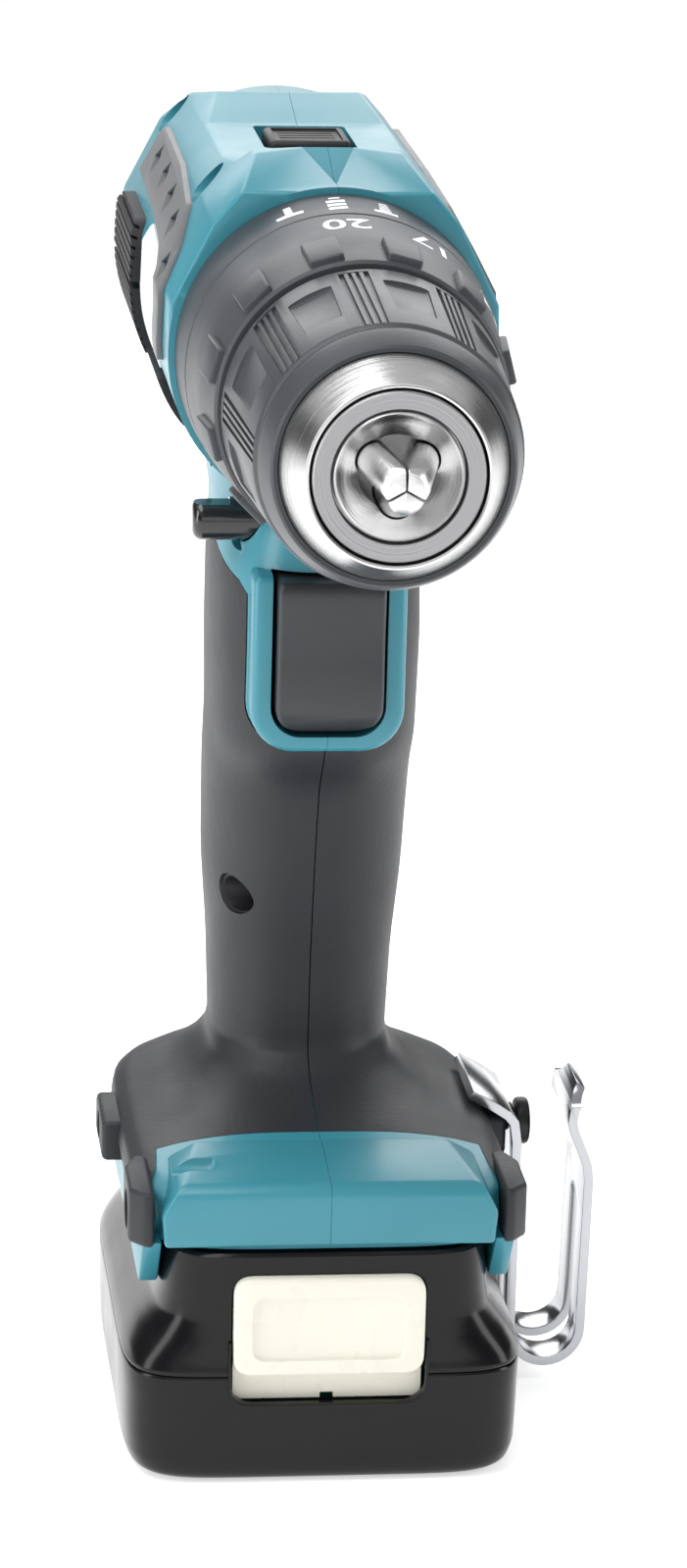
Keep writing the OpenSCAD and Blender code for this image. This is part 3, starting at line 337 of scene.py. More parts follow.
# %% Making solids
def ring_of(points, fill="NOTHING"):
    """A closed ring of edges through the points."""
    bpy.ops.object.select_all(action="DESELECT")
    bpy.ops.mesh.primitive_circle_add(vertices=len(points), radius=1, fill_type=fill)
    ring = bpy.context.object
    for vertex, point in zip(ring.data.vertices, points):
        vertex.co = Vector(point) * mm
    return ring


def turned(outline, steps=128):
    """A round piece on the spindle axis. outline holds pairs of radius and y."""
    piece = ring_of([(r, y, axis_z / mm) for r, y in outline])
    only(piece)
    bpy.ops.object.mode_set(mode="EDIT")
    bpy.ops.mesh.select_all(action="SELECT")
    bpy.ops.mesh.spin(steps=steps, angle=2 * math.pi, center=(0, 0, axis_z), axis=(0, 1, 0))
    bpy.ops.object.mode_set(mode="OBJECT")
    clean(piece)
    bpy.ops.object.mode_set(mode="EDIT")
    bpy.ops.mesh.select_all(action="SELECT")
    bpy.ops.mesh.delete_loose(use_verts=True, use_edges=True, use_faces=False)
    bpy.ops.object.mode_set(mode="OBJECT")
    return piece


def plate(outline, along, start, end):
    """A flat plate: outline holds points of the other two axes, and along is the thick axis."""
    places = {"X": lambda p: (start, p[0], p[1]), "Y": lambda p: (p[0], start, p[1]),
              "Z": lambda p: (p[0], p[1], start)}
    piece = ring_of([places[along](p) for p in outline], "NGON")
    step = {"X": (1, 0, 0), "Y": (0, 1, 0), "Z": (0, 0, 1)}[along]
    only(piece)
    bpy.ops.object.mode_set(mode="EDIT")
    bpy.ops.mesh.select_all(action="SELECT")
    bpy.ops.mesh.extrude_region_move(TRANSFORM_OT_translate={
        "value": Vector(step) * (end - start) * mm})
    bpy.ops.object.mode_set(mode="OBJECT")
    clean(piece)
    return piece


def block(low, high):
    """A box between two corners, in millimetres."""
    bpy.ops.object.select_all(action="DESELECT")
    bpy.ops.mesh.primitive_cube_add(size=1)
    box = bpy.context.object
    for vertex in box.data.vertices:
        vertex.co = Vector([(low[i] if vertex.co[i] < 0 else high[i]) * mm for i in range(3)])
    return box


def rod(radius, start, end, sides=48):
    """A straight rod between two points."""
    start, end = Vector(start) * mm, Vector(end) * mm
    bpy.ops.object.select_all(action="DESELECT")
    bpy.ops.mesh.primitive_cylinder_add(vertices=sides, radius=radius * mm,
                                        depth=(end - start).length)
    piece = bpy.context.object
    turn = (end - start).to_track_quat("Z", "Y").to_matrix().to_4x4()
    piece.data.transform(Matrix.Translation((start + end) / 2) @ turn)
    return piece


def slice_points(s, inset, sides):
    """One rounded slice: s holds height, front, back, half width and squareness."""
    z, front, back, half, square = s
    depth = (back - front) / 2 - inset
    points = []
    for i in range(sides):
        a = 2 * math.pi * (i + 0.5) / sides
        c, q = math.cos(a), math.sin(a)
        points.append(((half - inset) * math.copysign(abs(c) ** (2 / square), c),
                       (front + back) / 2 + depth * math.copysign(abs(q) ** (2 / square), q), z))
    return points


def between(slices, steps):
    """More slices on smooth curves through the given ones."""
    fine = []
    for k in range(len(slices) - 1):
        before, here = slices[max(k - 1, 0)], slices[k]
        there, after = slices[k + 1], slices[min(k + 2, len(slices) - 1)]
        for n in range(steps):
            t = n / steps
            fine.append([spline(before[i], here[i], there[i], after[i], t) for i in range(5)])
    return fine + [slices[-1]]


def spline(a, b, c, d, t):
    """A curve from b to c that never swings past them."""
    rise, step = limited((c - b), (b - a)), limited((c - b), (d - c))
    return (b * (1 + 2 * t) * (1 - t) ** 2 + rise * t * (1 - t) ** 2
            + c * t * t * (3 - 2 * t) + step * t * t * (t - 1))


def limited(span, other):
    return 0.0 if span * other <= 0 else math.copysign(min(abs(span), abs(other),
                                                           abs(span + other) / 2), span)


def lofted(slices, inset=0.0, sides=72, steps=4):
    """A closed body through slices: a ring that is extruded and reshaped again and again."""
    fine = between(slices, steps) if steps > 1 else slices
    rings = [slice_points(s, inset, sides) for s in fine]
    piece = ring_of(rings[0], "NGON")
    only(piece)
    bpy.ops.object.mode_set(mode="EDIT")
    bpy.ops.mesh.select_all(action="SELECT")
    for previous, ring in zip(rings, rings[1:]):
        bpy.ops.mesh.extrude_region_move()
        mesh = bmesh.from_edit_mesh(piece.data)
        tree = KDTree(sides)
        for i, p in enumerate(previous):
            tree.insert(Vector(p) * mm, i)
        tree.balance()
        for vertex in mesh.verts:
            if vertex.select:
                vertex.co = Vector(ring[tree.find(vertex.co)[1]]) * mm
        bmesh.update_edit_mesh(piece.data)
    bpy.ops.mesh.select_all(action="SELECT")
    bpy.ops.mesh.quads_convert_to_tris()
    bpy.ops.object.mode_set(mode="OBJECT")
    clean(piece)
    return piece


def copy_of(piece):
    only(piece)
    bpy.ops.object.duplicate()
    return bpy.context.object


def halves(piece, gap):
    """The right and left half of a piece, with a gap on the centre plane."""
    right, left = piece, copy_of(piece)
    cut(right, block((-80, -130, -5), (-gap / 2, 130, 230)), "INTERSECT")
    cut(left, block((gap / 2, -130, -5), (80, 130, 230)), "INTERSECT")
    return right, left


# %% [markdown]
# ## Measures from the frame
# Everything below starts from a few places that the design fixes: the spindle axis, the rim of
# the housing, the nose of the chuck and the top of the battery.
# %% Measures, in millimetres
def low_mm(node):
    return [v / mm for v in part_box(node)[0]]


def high_mm(node):
    return [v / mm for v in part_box(node)[1]]


axis = axis_z / mm
rim_y = high_mm("mode_ring")[1] + 0.3
rear_y = high_mm("housing_right")[1]
nose_y = low_mm("chuck_front_plate")[1]
torque_y = low_mm("torque_ring")[1]
mode_y = low_mm("mode_ring")[1]
sleeve_rear_y = high_mm("chuck_sleeve")[1]
foot_z = low_mm("grip_rubber_right")[2]
half_w = high_mm("battery_lower_case")[0]
front_y = low_mm("battery_lower_case")[1]
back_y = high_mm("battery_lower_case")[1]
case_z = high_mm("battery_lower_case")[2]
deck_z = high_mm("battery_upper_case")[2]
trigger_z = low_mm("trigger")[2]
barrel_r = 26.3
rubber_t = 1.4
wall = 2.4
grip_half = 17.0
grip_back = 42.6
foot_half = half_w + 1.4
foot_front = front_y + 1.9
foot_back = back_y + 2.6
print(f"axis {axis:.1f}, rim {rim_y:.1f}, nose {nose_y:.1f}, foot {foot_z:.1f}")

# %% [markdown]
# ## The housing
# A drill's housing is two nylon shells that meet on the centre plane. The barrel is round, its
# top is planed into facets, and the grip grows out of it and spreads into the foot. The grip is
# drawn as slices from the foot up: each slice is a rounded outline, and the body is the ring that
# is extruded through them. Only the upper part and the front of the foot show teal; the rest is
# cored down by the thickness of the rubber that is moulded over it.
# %% Slices of the grip and foot
grip_slices = [
    [foot_z, foot_front + 0.8, foot_back - 0.6, foot_half - 3.6, 5.2],
    [foot_z + 4.6, foot_front + 0.4, foot_back, foot_half - 2.8, 5.2],
    [foot_z + 7.2, foot_front + 1.0, foot_back - 0.1, foot_half - 3.2, 5.2],
    [foot_z + 8.8, foot_front + 4, foot_back - 0.2, foot_half - 4.8, 5.0],
    [foot_z + 10.4, foot_front + 11, foot_back - 0.3, foot_half - 8.6, 4.6],
    [foot_z + 12.2, foot_front + 20, foot_back - 0.4, foot_half - 13.4, 3.8],
    [foot_z + 14.4, foot_front + 30, grip_back - 0.6, grip_half + 0.4, 3.2],
    [foot_z + 17.2, foot_front + 37, grip_back - 0.4, grip_half - 1.7, 2.8],
    [foot_z + 20, 2.4, grip_back, grip_half - 2.1, 2.4],
    [foot_z + 33, 2.2, grip_back + 0.7, grip_half - 1.6, 2.4],
    [trigger_z - 28, -0.6, grip_back + 0.6, grip_half - 0.3, 2.4],
    [trigger_z - 12, -5, grip_back - 1, grip_half, 2.5],
    [trigger_z - 3, -11.6, grip_back - 2.2, grip_half, 2.7],
    [trigger_z + 12, -12.4, grip_back - 1.6, grip_half + 0.2, 2.8],
    [trigger_z + 24, -13.2, grip_back + 3, grip_half, 2.6],
    [trigger_z + 31, -12.6, grip_back + 8, grip_half - 0.6, 2.5],
    [axis - barrel_r + 0.6, rim_y, grip_back + 14, grip_half - 0.4, 2.6],
    [axis - barrel_r + 9, rim_y, grip_back + 20, grip_half, 3]]


# %% Regions of rubber and plastic
def arc(cx, cz, r, start, end, steps=8):
    """Points on an arc, angles in degrees."""
    return [(cx + r * math.cos(math.radians(start + (end - start) * i / steps)),
             cz + r * math.sin(math.radians(start + (end - start) * i / steps)))
            for i in range(steps + 1)]


def trigger_frame(half, bottom, top, corner):
    """The U outline round the trigger."""
    return ([(half, top)] + [(-half, top)] + arc(-half + corner, bottom + corner, corner, 180, 270)
            + arc(half - corner, bottom + corner, corner, 270, 360))


def rubber_region(grow=0.0):
    """Where the rubber lies: all of the grip and foot but the trigger's frame and the fascia."""
    region = plate([(-60, -5), (-60, trigger_z + 17 + grow), (-13, trigger_z + 17 + grow),
                    (-5, trigger_z + 23 + grow), (8, trigger_z + 26.5 + grow),
                    (22, trigger_z + 29 + grow), (80, trigger_z + 31 + grow), (80, -5)],
                   "X", -60, 60)
    cut(region, plate(trigger_frame(12.6 - grow, trigger_z - 3.4 + grow, 170, 7), "Y", -60, 6))
    fascia = plate([(-28 + grow, -9), (28 - grow, -9), (28 - grow, foot_z + 8), (23, foot_z + 14),
                    (-23, foot_z + 14), (-28 + grow, foot_z + 8)], "Y", -60,
                   foot_front + 21 - grow)
    return cut(region, fascia)


# %% [markdown]
# The faceted top is one plate seen from the side cut by another seen from the front, and its
# ridges are bevelled before it joins the barrel, so that they catch the light.
# %% Barrel and faceted top
def faceted_top(inset=0.0):
    side = plate([(rim_y, axis), (rim_y, axis + 25.4 - inset), (7, axis + 29.9 - inset),
                  (12.5, axis + 26.6 - inset), (24, axis + 25.5 - inset),
                  (rear_y - 41, axis + 25.5 - inset), (rear_y - 27.5, axis + 28.7 - inset),
                  (rear_y - 8, axis + 25.3 - inset), (rear_y - 1.5, axis + 19.8 - inset),
                  (rear_y - 1.5, axis)], "X", -40, 40)
    front = plate([(-barrel_r + inset, axis), (-barrel_r + 0.2 + inset, axis + 7.5),
                   (-19.6 + inset, axis + 20.3), (-11.9 + inset * 0.6, axis + 29.2),
                   (0, axis + 30.1), (11.9 - inset * 0.6, axis + 29.2), (19.6 - inset, axis + 20.3),
                   (barrel_r - 0.2 - inset, axis + 7.5), (barrel_r - inset, axis)],
                  "Y", rim_y, rear_y - 1.5)
    return cut(side, front, "INTERSECT")


def barrel(radius, start, end, rounding):
    return turned([(0, start), (radius, start), (radius, end - rounding)]
                  + [(radius - rounding + rounding * math.cos(math.radians(a)),
                      end - rounding + rounding * math.sin(math.radians(a)))
                     for a in range(15, 90, 15)] + [(radius - rounding, end), (0, end)])


top = faceted_top()
soften(top, 0.7, 3, 10)
shell = barrel(barrel_r, rim_y, rear_y, 6)
cut(shell, block((-14, 9.5, axis + 25.46), (14, rear_y - 32, axis + 34)))
cut(shell, top, "UNION")
print("barrel faces:", len(shell.data.polygons))

# %% Grip core and trigger frame
core = lofted(grip_slices, rubber_t + 0.05)
skin = lofted(grip_slices)
cut(skin, rubber_region())
cut(shell, core, "UNION")
cut(shell, skin, "UNION")
fascia = plate([(foot_front - 0.1, foot_z + 0.6), (foot_front - 0.2, foot_z + 9.4),
                (foot_front + 1.4, foot_z + 10.9), (foot_front + 17, foot_z + 12.7),
                (foot_front + 17, foot_z + 0.6)], "X", -40, 40)
cut(fascia, plate([(-26.6, foot_z + 0.4), (26.6, foot_z + 0.4), (27.1, foot_z + 6),
                   (24.8, foot_z + 10.3), (20.4, foot_z + 12.7), (-20.4, foot_z + 12.7),
                   (-24.8, foot_z + 10.3), (-27.1, foot_z + 6)], "Y", -60, 0), "INTERSECT")
soften(fascia, 0.8, 3, 12)
strap_slot = rod(2.4, (-32, foot_front + 8.5, foot_z + 12.4), (-17.5, foot_front + 8.5,
                                                               foot_z + 12.4))
soften(strap_slot, 1.6, 4)
cut(fascia, strap_slot)
cut(shell, fascia, "UNION")
lip = plate(trigger_frame(12.4, trigger_z - 3.2, trigger_z + 26, 7), "Y", -14.6, -6)
soften(lip, 1.4, 4, 40)
cut(shell, lip, "UNION")

# %% Skirts that hold the battery's rails
skirt_in = deck_half = high_mm("battery_upper_case")[0] - 6.2 + 0.4
for side in (-1, 1):
    skirt = plate([(foot_front + 1.5, foot_z + 1), (foot_front + 9, foot_z - 8.4),
                   (back_y - 3, foot_z - 8.4),
                   (back_y - 3, foot_z + 1)], "X", side * skirt_in, side * (skirt_in + 3.2))
    soften(skirt, 0.5)
    cut(shell, skirt, "UNION")

# %% Openings of the housing
cavity = barrel(barrel_r - wall, rim_y - 1, rear_y - wall, 5)
cut(shell, cavity)
inner_slices = [[s[0] - (1.5 if k == 0 else 1.2)] + s[1:] for k, s in enumerate(grip_slices)]
cut(shell, lofted(inner_slices, rubber_t + wall, sides=48, steps=2))
trigger_half = high_mm("trigger")[0]
cut(shell, plate(trigger_frame(trigger_half + 0.7, trigger_z - 0.6, trigger_z + 26.2, 5),
                 "Y", -40, 4))
selector_low, selector_high = low_mm("speed_selector"), high_mm("speed_selector")
window_half = selector_high[0] + 0.9
window = block((-window_half, selector_high[1] - 15, axis + 18),
               (window_half, selector_high[1] + 6.6, axis + 34))
soften(window, 0.8)
cut(shell, window)
reversing_low, reversing_high = low_mm("reversing_button"), high_mm("reversing_button")
reversing_y = (reversing_low[1] + reversing_high[1]) / 2
reversing_z = (reversing_low[2] + reversing_high[2]) / 2
cut(shell, rod(3.8, (-40, reversing_y, reversing_z), (40, reversing_y, reversing_z)))
cut(shell, rod(5.2, (-40, reversing_y, reversing_z), (-13.4, reversing_y, reversing_z)))
print("shell faces:", len(shell.data.polygons))

# %% [markdown]
# The V by the rim is the pointer for the rings: a wedge pressed into the front slope, deepest at
# its point. Long recesses lead the screws in from the right, down to a seat near the middle.
# %% Pointer notch, screw recesses and lamp window
pointer_tip_y = -6.6
slope_z = axis + 25.4 + 4.5 * (pointer_tip_y - rim_y) / (7 - rim_y)
pointer = plate([(-4.4, axis + 29.7), (-4.4, axis + 36), (4.4, axis + 36), (4.4, axis + 29.7)],
                "Y", pointer_tip_y, 7.4)
for vertex in pointer.data.vertices:
    if vertex.co.y < 0:
        vertex.co.x = 0
        vertex.co.z = min(vertex.co.z, (slope_z - 1.3) * mm) if vertex.co.z < (axis + 33) * mm \
            else vertex.co.z
clean(pointer)
cut(shell, pointer)
screw_places = [(6.5, trigger_z - 33.4), (34, trigger_z - 58), (33, trigger_z + 4),
                (19, axis - 21.6), (19, axis + 21.6), (rear_y - 9, axis - 21.6),
                (rear_y - 9, axis + 21.6), (foot_front + 9, foot_z + 4), (foot_back - 7, foot_z + 4)]
recesses = join([rod(3.4, (-45, y, z), (-7, y, z)) for y, z in screw_places])
cut(shell, recesses, keep=True)
cut(shell, rod(2.6, (0, -20, reversing_z - 3.4), (0, -6, reversing_z - 3.4)))
shell_right, shell_left = halves(shell, 0.06)
settle(shell_right, "shell_right", "housing", "teal_plastic", "housing_right")
settle(shell_left, "shell_left", "housing", "teal_plastic", "housing_left")

# %% [markdown]
# ## The rubber grip
# The overmould is a skin 1.4 mm thick: the full grip less the core, kept only where the rubber
# lies. A hair's gap is left along its edge, where the real one shows a dark line. Pads and
# corner lugs stand out from the foot's sides, and a thin sleeve of rubber lines each screw hole.
# %% Grip rubber
rubber = lofted(grip_slices)
for side in (-1, 1):
    pad_x = sorted((side * 28.2, side * (foot_half - 0.12)))
    pad = block((pad_x[0], 3, foot_z + 0.3), (pad_x[1], 19, foot_z + 7.2))
    soften(pad, 1.0, 3)
    cut(rubber, pad, "UNION")
    lug = plate([(side * 28.2, foot_front + 1.2), (side * (foot_half - 4.4), foot_front + 1.2),
                 (side * (foot_half - 1.9), foot_front + 4.2),
                 (side * (foot_half - 1.9), foot_front + 15), (side * 30.2, foot_front + 20),
                 (side * 28.2, foot_front + 19)], "Z", foot_z + 0.2, foot_z + 9.4)
    soften(lug, 0.9, 3)
    cut(rubber, lug, "UNION")
cut(rubber, rod(2.7, (-40, 12, foot_z + 3.4), (-foot_half + 4.6, 12, foot_z + 3.4)))
cut(rubber, lofted([[s[0] - (2 if k == 0 else 0)] + s[1:] for k, s in enumerate(grip_slices)],
                   rubber_t))
cut(rubber, rubber_region(-0.18), "INTERSECT")
cut(rubber, recesses)
rubber_right, rubber_left = halves(rubber, 0.2)
liners = []
for y, z in screw_places[:3]:
    liner = rod(3.36, (-20, y, z), (-9.2, y, z))
    cut(liner, rod(2.95, (-24, y, z), (-5, y, z)))
    liners.append(liner)
liners = cut(join(liners), lofted(grip_slices, 0.6), "INTERSECT")
settle(liners, "screw_tunnels", "housing", "black_plastic")
settle(rubber_right, "rubber_right", "housing", "grip_rubber", "grip_rubber_right")
settle(rubber_left, "rubber_left", "housing", "grip_rubber", "grip_rubber_left")

# %% [markdown]
# ## The chuck
# Steel parts come off a lathe, so they are spun from an outline. The nose is a polished bowl
# round the bore, then a flat ring, then a broad bright bevel that carries the eye to the sleeve.
# %% Nose, flat ring and bevel
nose = turned([(5.4, nose_y + 4.2), (5.6, nose_y + 3.2), (6.4, nose_y + 2.5), (7.6, nose_y + 1.7),
               (8.7, nose_y + 0.9), (9.0, nose_y + 0.35), (9.25, nose_y + 0.2),
               (9.45, nose_y + 0.35), (9.55, nose_y + 3), (12.5, nose_y + 3),
               (12.5, sleeve_rear_y - 1), (0, sleeve_rear_y - 1), (0, nose_y + 28),
               (5.4, nose_y + 28)])
lean = math.radians(15)
jaw_low = low_mm("jaw_1")[1]


def jaw_line(k, back):
    """A point on the middle of jaw k, some way back along it from its tip."""
    turn = Matrix.Rotation(math.radians(k * 120 + 90), 3, "Y")
    out = turn @ Vector((0.6 + math.sin(lean) * back, 0, 0))
    return Vector((out.x, jaw_low - 0.9 + math.cos(lean) * back, axis + out.z))


cut(nose, join([rod(2.9, jaw_line(k, -6), jaw_line(k, 62)) for k in range(3)]))
settle(nose, "chuck_nose", "chuck", "turned_steel", "chuck_body")
flat_ring = turned([(9.75, nose_y + 0.5), (9.95, nose_y + 0.05), (12.3, nose_y),
                    (12.55, nose_y + 0.25), (12.55, nose_y + 2.6), (9.75, nose_y + 2.6)])
settle(flat_ring, "chuck_flat_ring", "chuck", "dark_steel", "chuck_front_plate")
bevel_ring = turned([(12.85, nose_y + 0.6), (13.0, nose_y + 0.15), (13.3, nose_y + 0.02),
                     (13.6, nose_y + 0.1), (16.65, nose_y + 6.1), (16.8, nose_y + 6.6),
                     (16.8, nose_y + 10.5), (12.85, nose_y + 10.5)])
settle(bevel_ring, "chuck_bevel", "chuck_sleeve", "turned_steel", "chuck_bevel_ring")

# %% [markdown]
# Each jaw is a hardened rod with its grip faces ground to a blunt wedge, so that three of them
# meet round the axis when the chuck is closed.
# %% Jaws
for k in range(3):
    jaw = rod(2.6, jaw_line(k, 0), jaw_line(k, 32))
    wedge = plate([(0.16, 0), (34, 55), (68, 0), (34, -55)], "Y", jaw_low - 20, 0)
    only(wedge)
    wedge.data.transform(Matrix.Translation((0, 0, axis_z))
                         @ Matrix.Rotation(math.radians(k * 120 + 90), 4, "Y"))
    cut(jaw, wedge, "INTERSECT")
    tip = turned([(0, jaw_low), (2.7, jaw_low), (4.4, jaw_low + 2.2), (20, jaw_low + 5), (20, 10),
                  (0, 10)], 48)
    cut(jaw, tip, "INTERSECT")
    soften(jaw, 0.16, 2, 30)
    settle(jaw, f"chuck_jaw_{k + 1}", f"jaw_{k + 1}", "turned_steel", f"jaw_{k + 1}")

# %% [markdown]
# The sleeve is a hard plastic shell. Nine panels with a shallow pocket each are set apart by
# bands of three fine ribs, which the fingers grip.
# %% Sleeve
bands = 9
band_turn = -7
sleeve_front_r, sleeve_rear_r = 19.6, 21.6
band_front = nose_y + 13
sleeve = turned([(16.85, nose_y + 6.4), (17.5, nose_y + 6.2), (17.9, nose_y + 6.5),
                 (19.2, nose_y + 10.2), (19.3, band_front - 0.9), (19.75, band_front - 0.4),
                 (19.85, band_front), (sleeve_rear_r + 0.1, sleeve_rear_y - 2),
                 (sleeve_rear_r - 0.2, sleeve_rear_y - 0.5), (sleeve_rear_r - 1, sleeve_rear_y),
                 (sleeve_rear_r - 2.8, sleeve_rear_y), (18.0, nose_y + 17.5),
                 (16.85, nose_y + 12.5)], 144)


def round_axis(piece, degrees):
    """Turns a piece that was made at the top of the spindle axis round it."""
    piece.data.transform(Matrix.Translation((0, 0, axis_z))
                         @ Matrix.Rotation(math.radians(degrees), 4, "Y")
                         @ Matrix.Translation((0, 0, -axis_z)))
    return piece


def wedge_block(y0, y1, r0, r1, w0, w1, height):
    """A tapered block on the top of the axis: radius and half width at each end."""
    return ring_solid([(-w0, y0, axis + r0), (w0, y0, axis + r0), (w1, y1, axis + r1),
                       (-w1, y1, axis + r1)], height)


def ring_solid(points, height):
    piece = ring_of(points, "NGON")
    only(piece)
    bpy.ops.object.mode_set(mode="EDIT")
    bpy.ops.mesh.select_all(action="SELECT")
    bpy.ops.mesh.extrude_region_move(TRANSFORM_OT_translate={"value": (0, 0, height * mm)})
    bpy.ops.object.mode_set(mode="OBJECT")
    clean(piece)
    return piece


channels, ribs, pockets = [], [], []
for k in range(bands):
    turn = band_turn + k * 360 / bands
    channels.append(round_axis(wedge_block(band_front - 0.2, sleeve_rear_y - 3.2, 19.1, 21.0,
                                           1.9, 2.3, 4), turn))
    for m in (-1, 0, 1):
        rib = wedge_block(band_front + 0.2, sleeve_rear_y - 3.6, 18.6, 20.4, 0.24, 0.3, 1.15)
        only(rib)
        rib.data.transform(Matrix.Translation((m * 1.15 * mm, 0, 0)))
        ribs.append(round_axis(rib, turn))
    pocket = wedge_block(band_front + 7, sleeve_rear_y - 8, 19.6, 20.6, 3.0, 3.6, 4)
    soften(pocket, 0.5, 2)
    pockets.append(round_axis(pocket, turn + 180 / bands))
cut(sleeve, join(channels))
cut(sleeve, join(pockets))
soften(sleeve, 0.12, 1, 40)
cut(sleeve, join(ribs), "UNION")
settle(sleeve, "sleeve_shell", "chuck_sleeve", "sleeve_plastic", "chuck_sleeve")

# %% [markdown]
# ## The two rings
# The torque ring has twelve raised lugs by its front edge and its numbers behind them; the mode
# ring behind it carries three plain signs: hammer, drill bit and screw.
# %% Torque ring
torque_rear_y = high_mm("torque_ring")[1]
torque_ring = turned([(19.5, torque_y + 2.4), (20.6, torque_y), (22.0, torque_y),
                      (22.5, torque_y + 0.4), (22.6, torque_y + 1), (23.6, torque_y + 11.5),
                      (24.7, torque_rear_y - 0.5), (24.5, torque_rear_y),
                      (19.5, torque_rear_y)], 144)
lugs = []
for k in range(12):
    lug = wedge_block(torque_y + 1.0, torque_y + 10.8, 21.0, 21.9, 2.7, 2.9, 2.55)
    soften(lug, 0.45, 3)
    lugs.append(round_axis(lug, 15 + k * 30))
cut(torque_ring, join(lugs), "UNION")
settle(torque_ring, "torque_dial", "torque_ring", "ring_plastic", "torque_ring")
mode_rear_y = high_mm("mode_ring")[1]
mode_ring = turned([(19.5, mode_y), (24.5, mode_y), (24.75, mode_y + 0.3),
                    (25.3, mode_rear_y - 0.4), (25.1, mode_rear_y), (19.5, mode_rear_y)], 144)
settle(mode_ring, "mode_dial", "mode_ring", "ring_plastic", "mode_ring")


# %% [markdown]
# The print is a film of white a tenth of a millimetre thick. It is made flat, cut into short
# pieces and rolled round the ring, so that it follows the curve.
# %% Rolling a print round a ring
def rolled(piece, radius, degrees, y):
    """Rolls a flat print round the ring. It reads from behind the drill."""
    only(piece)
    bpy.ops.object.mode_set(mode="EDIT")
    bpy.ops.mesh.select_all(action="SELECT")
    bpy.ops.mesh.remove_doubles(threshold=0.00001)
    bpy.ops.mesh.quads_convert_to_tris()
    bpy.ops.mesh.subdivide(number_cuts=2)
    bpy.ops.object.mode_set(mode="OBJECT")
    for vertex in piece.data.vertices:
        u, v = vertex.co.x / mm, vertex.co.y / mm
        a = math.radians(degrees) - u / radius(y - v)
        r = radius(y - v) + 0.03
        vertex.co = Vector((r * math.sin(a), y - v, axis + r * math.cos(a))) * mm
    apply_modifier(piece, "SOLIDIFY", thickness=0.1 * mm, offset=-1)
    return piece


def torque_radius(y):
    return 23.6 + (24.7 - 23.6) * (y - torque_y - 11.5) / (torque_rear_y - torque_y - 12)


def mode_radius(y):
    return 24.75 + (25.3 - 24.75) * (y - mode_y) / (mode_rear_y - mode_y)


def number(word, size):
    bpy.ops.object.select_all(action="DESELECT")
    bpy.ops.object.text_add()
    piece = bpy.context.object
    piece.data.body = word
    piece.data.align_x, piece.data.align_y = "CENTER", "CENTER"
    piece.data.size = size * mm
    piece.data.offset = 0.012 * size * mm
    piece.data.resolution_u = 3
    bpy.ops.object.convert(target="MESH")
    piece = bpy.context.object
    piece.data.transform(Matrix.Diagonal((1.02, 1, 1, 1)))
    return piece


number_y = torque_y + 20.6
numbers = [rolled(number(str(20 - 3 * k), 7.6), torque_radius, -2 + 33 * k, number_y)
           for k in range(7)]
settle(join(numbers), "torque_numbers", "torque_ring", "label_film")


def bar(u0, v0, u1, v1, lean_by=0.0):
    return ring_of([(u0, v0, 0), (u1, v0 + lean_by, 0), (u1, v1 + lean_by, 0), (u0, v1, 0)], "NGON")


mode_mid = (mode_y + mode_rear_y) / 2
hammer_sign = join([bar(-0.6, -2.9, 0.6, 1.8), bar(-2.2, 1.4, 2.2, 2.9)])
drill_sign = join([bar(-1.5, v, 1.5, v + 1.5, 0.7) for v in (-2.6, -0.3, 2.0)]
                  + [bar(-0.9, -4.3, 0.9, -3.4, 0.4)])
screw_sign = join([bar(-1.9, 2.0, 1.9, 3.5)] + [bar(-1.0 + 0.08 * n, 0.9 - n * 1.1, 1.0 - 0.08 * n,
                                                    1.6 - n * 1.1, 0.35) for n in range(5)])
signs = [rolled(sign, mode_radius, turn, mode_mid) for sign, turn in
         ((hammer_sign, -20), (drill_sign, -2.5), (screw_sign, 15))]
settle(join(signs), "mode_signs", "mode_ring", "label_film")


# %% [markdown]
# ## Speed selector
# A black slider in the window on top. Its thumb pad is dished inside a raised rim, and a thin
# rod under the top runs forward to the gears.
# %% Speed selector
selector_y = selector_high[1] - 14.4
selector = block((selector_low[0], selector_y, selector_high[2] - 4), selector_high)
soften(selector, 0.9, 3)
dish = block((selector_low[0] + 1.3, selector_y + 1.3, selector_high[2] - 0.45),
             (selector_high[0] - 1.3, selector_high[1] - 1.3, selector_high[2] + 2))
soften(dish, 0.3, 2)
cut(selector, dish)
grooves = [block((-4.6, selector_y + 3.4 + 2.2 * g, selector_high[2] - 0.8),
                 (4.6, selector_y + 4.2 + 2.2 * g, selector_high[2] + 1)) for g in range(4)]
cut(selector, join(grooves))
rail = block((-1.8, selector_low[1], selector_low[2]), (1.8, selector_y + 8, selector_low[2] + 1.4))
post = block((-1.8, selector_y + 2, selector_low[2]), (1.8, selector_y + 8, selector_high[2] - 3.5))
cut(selector, cut(rail, post, "UNION"), "UNION")
settle(selector, "speed_slider", "speed_selector", "black_plastic", "speed_selector")


# %% [markdown]
# ## Trims on the cheeks
# The grey vent band, the blank plate and the rubber bumpers all lie on the housing's own
# surface. Each is cut from a skin that follows that surface: the housing's form grown by a
# millimetre or two, less the form itself, and then trimmed to an outline seen from the side.
# %% A skin over the housing, trimmed to an outline
def cheek_skin(low, high, outline, side):
    skin = barrel(barrel_r + high, rim_y + 0.5, rear_y - 1, 6)
    cut(skin, faceted_top(-high), "UNION")
    cut(skin, barrel(barrel_r + low, rim_y - 1, rear_y, 6))
    if low > -0.5:
        cut(skin, faceted_top(-low))
    return cut(skin, plate(outline, "X", side * 14, side * 60), "INTERSECT")


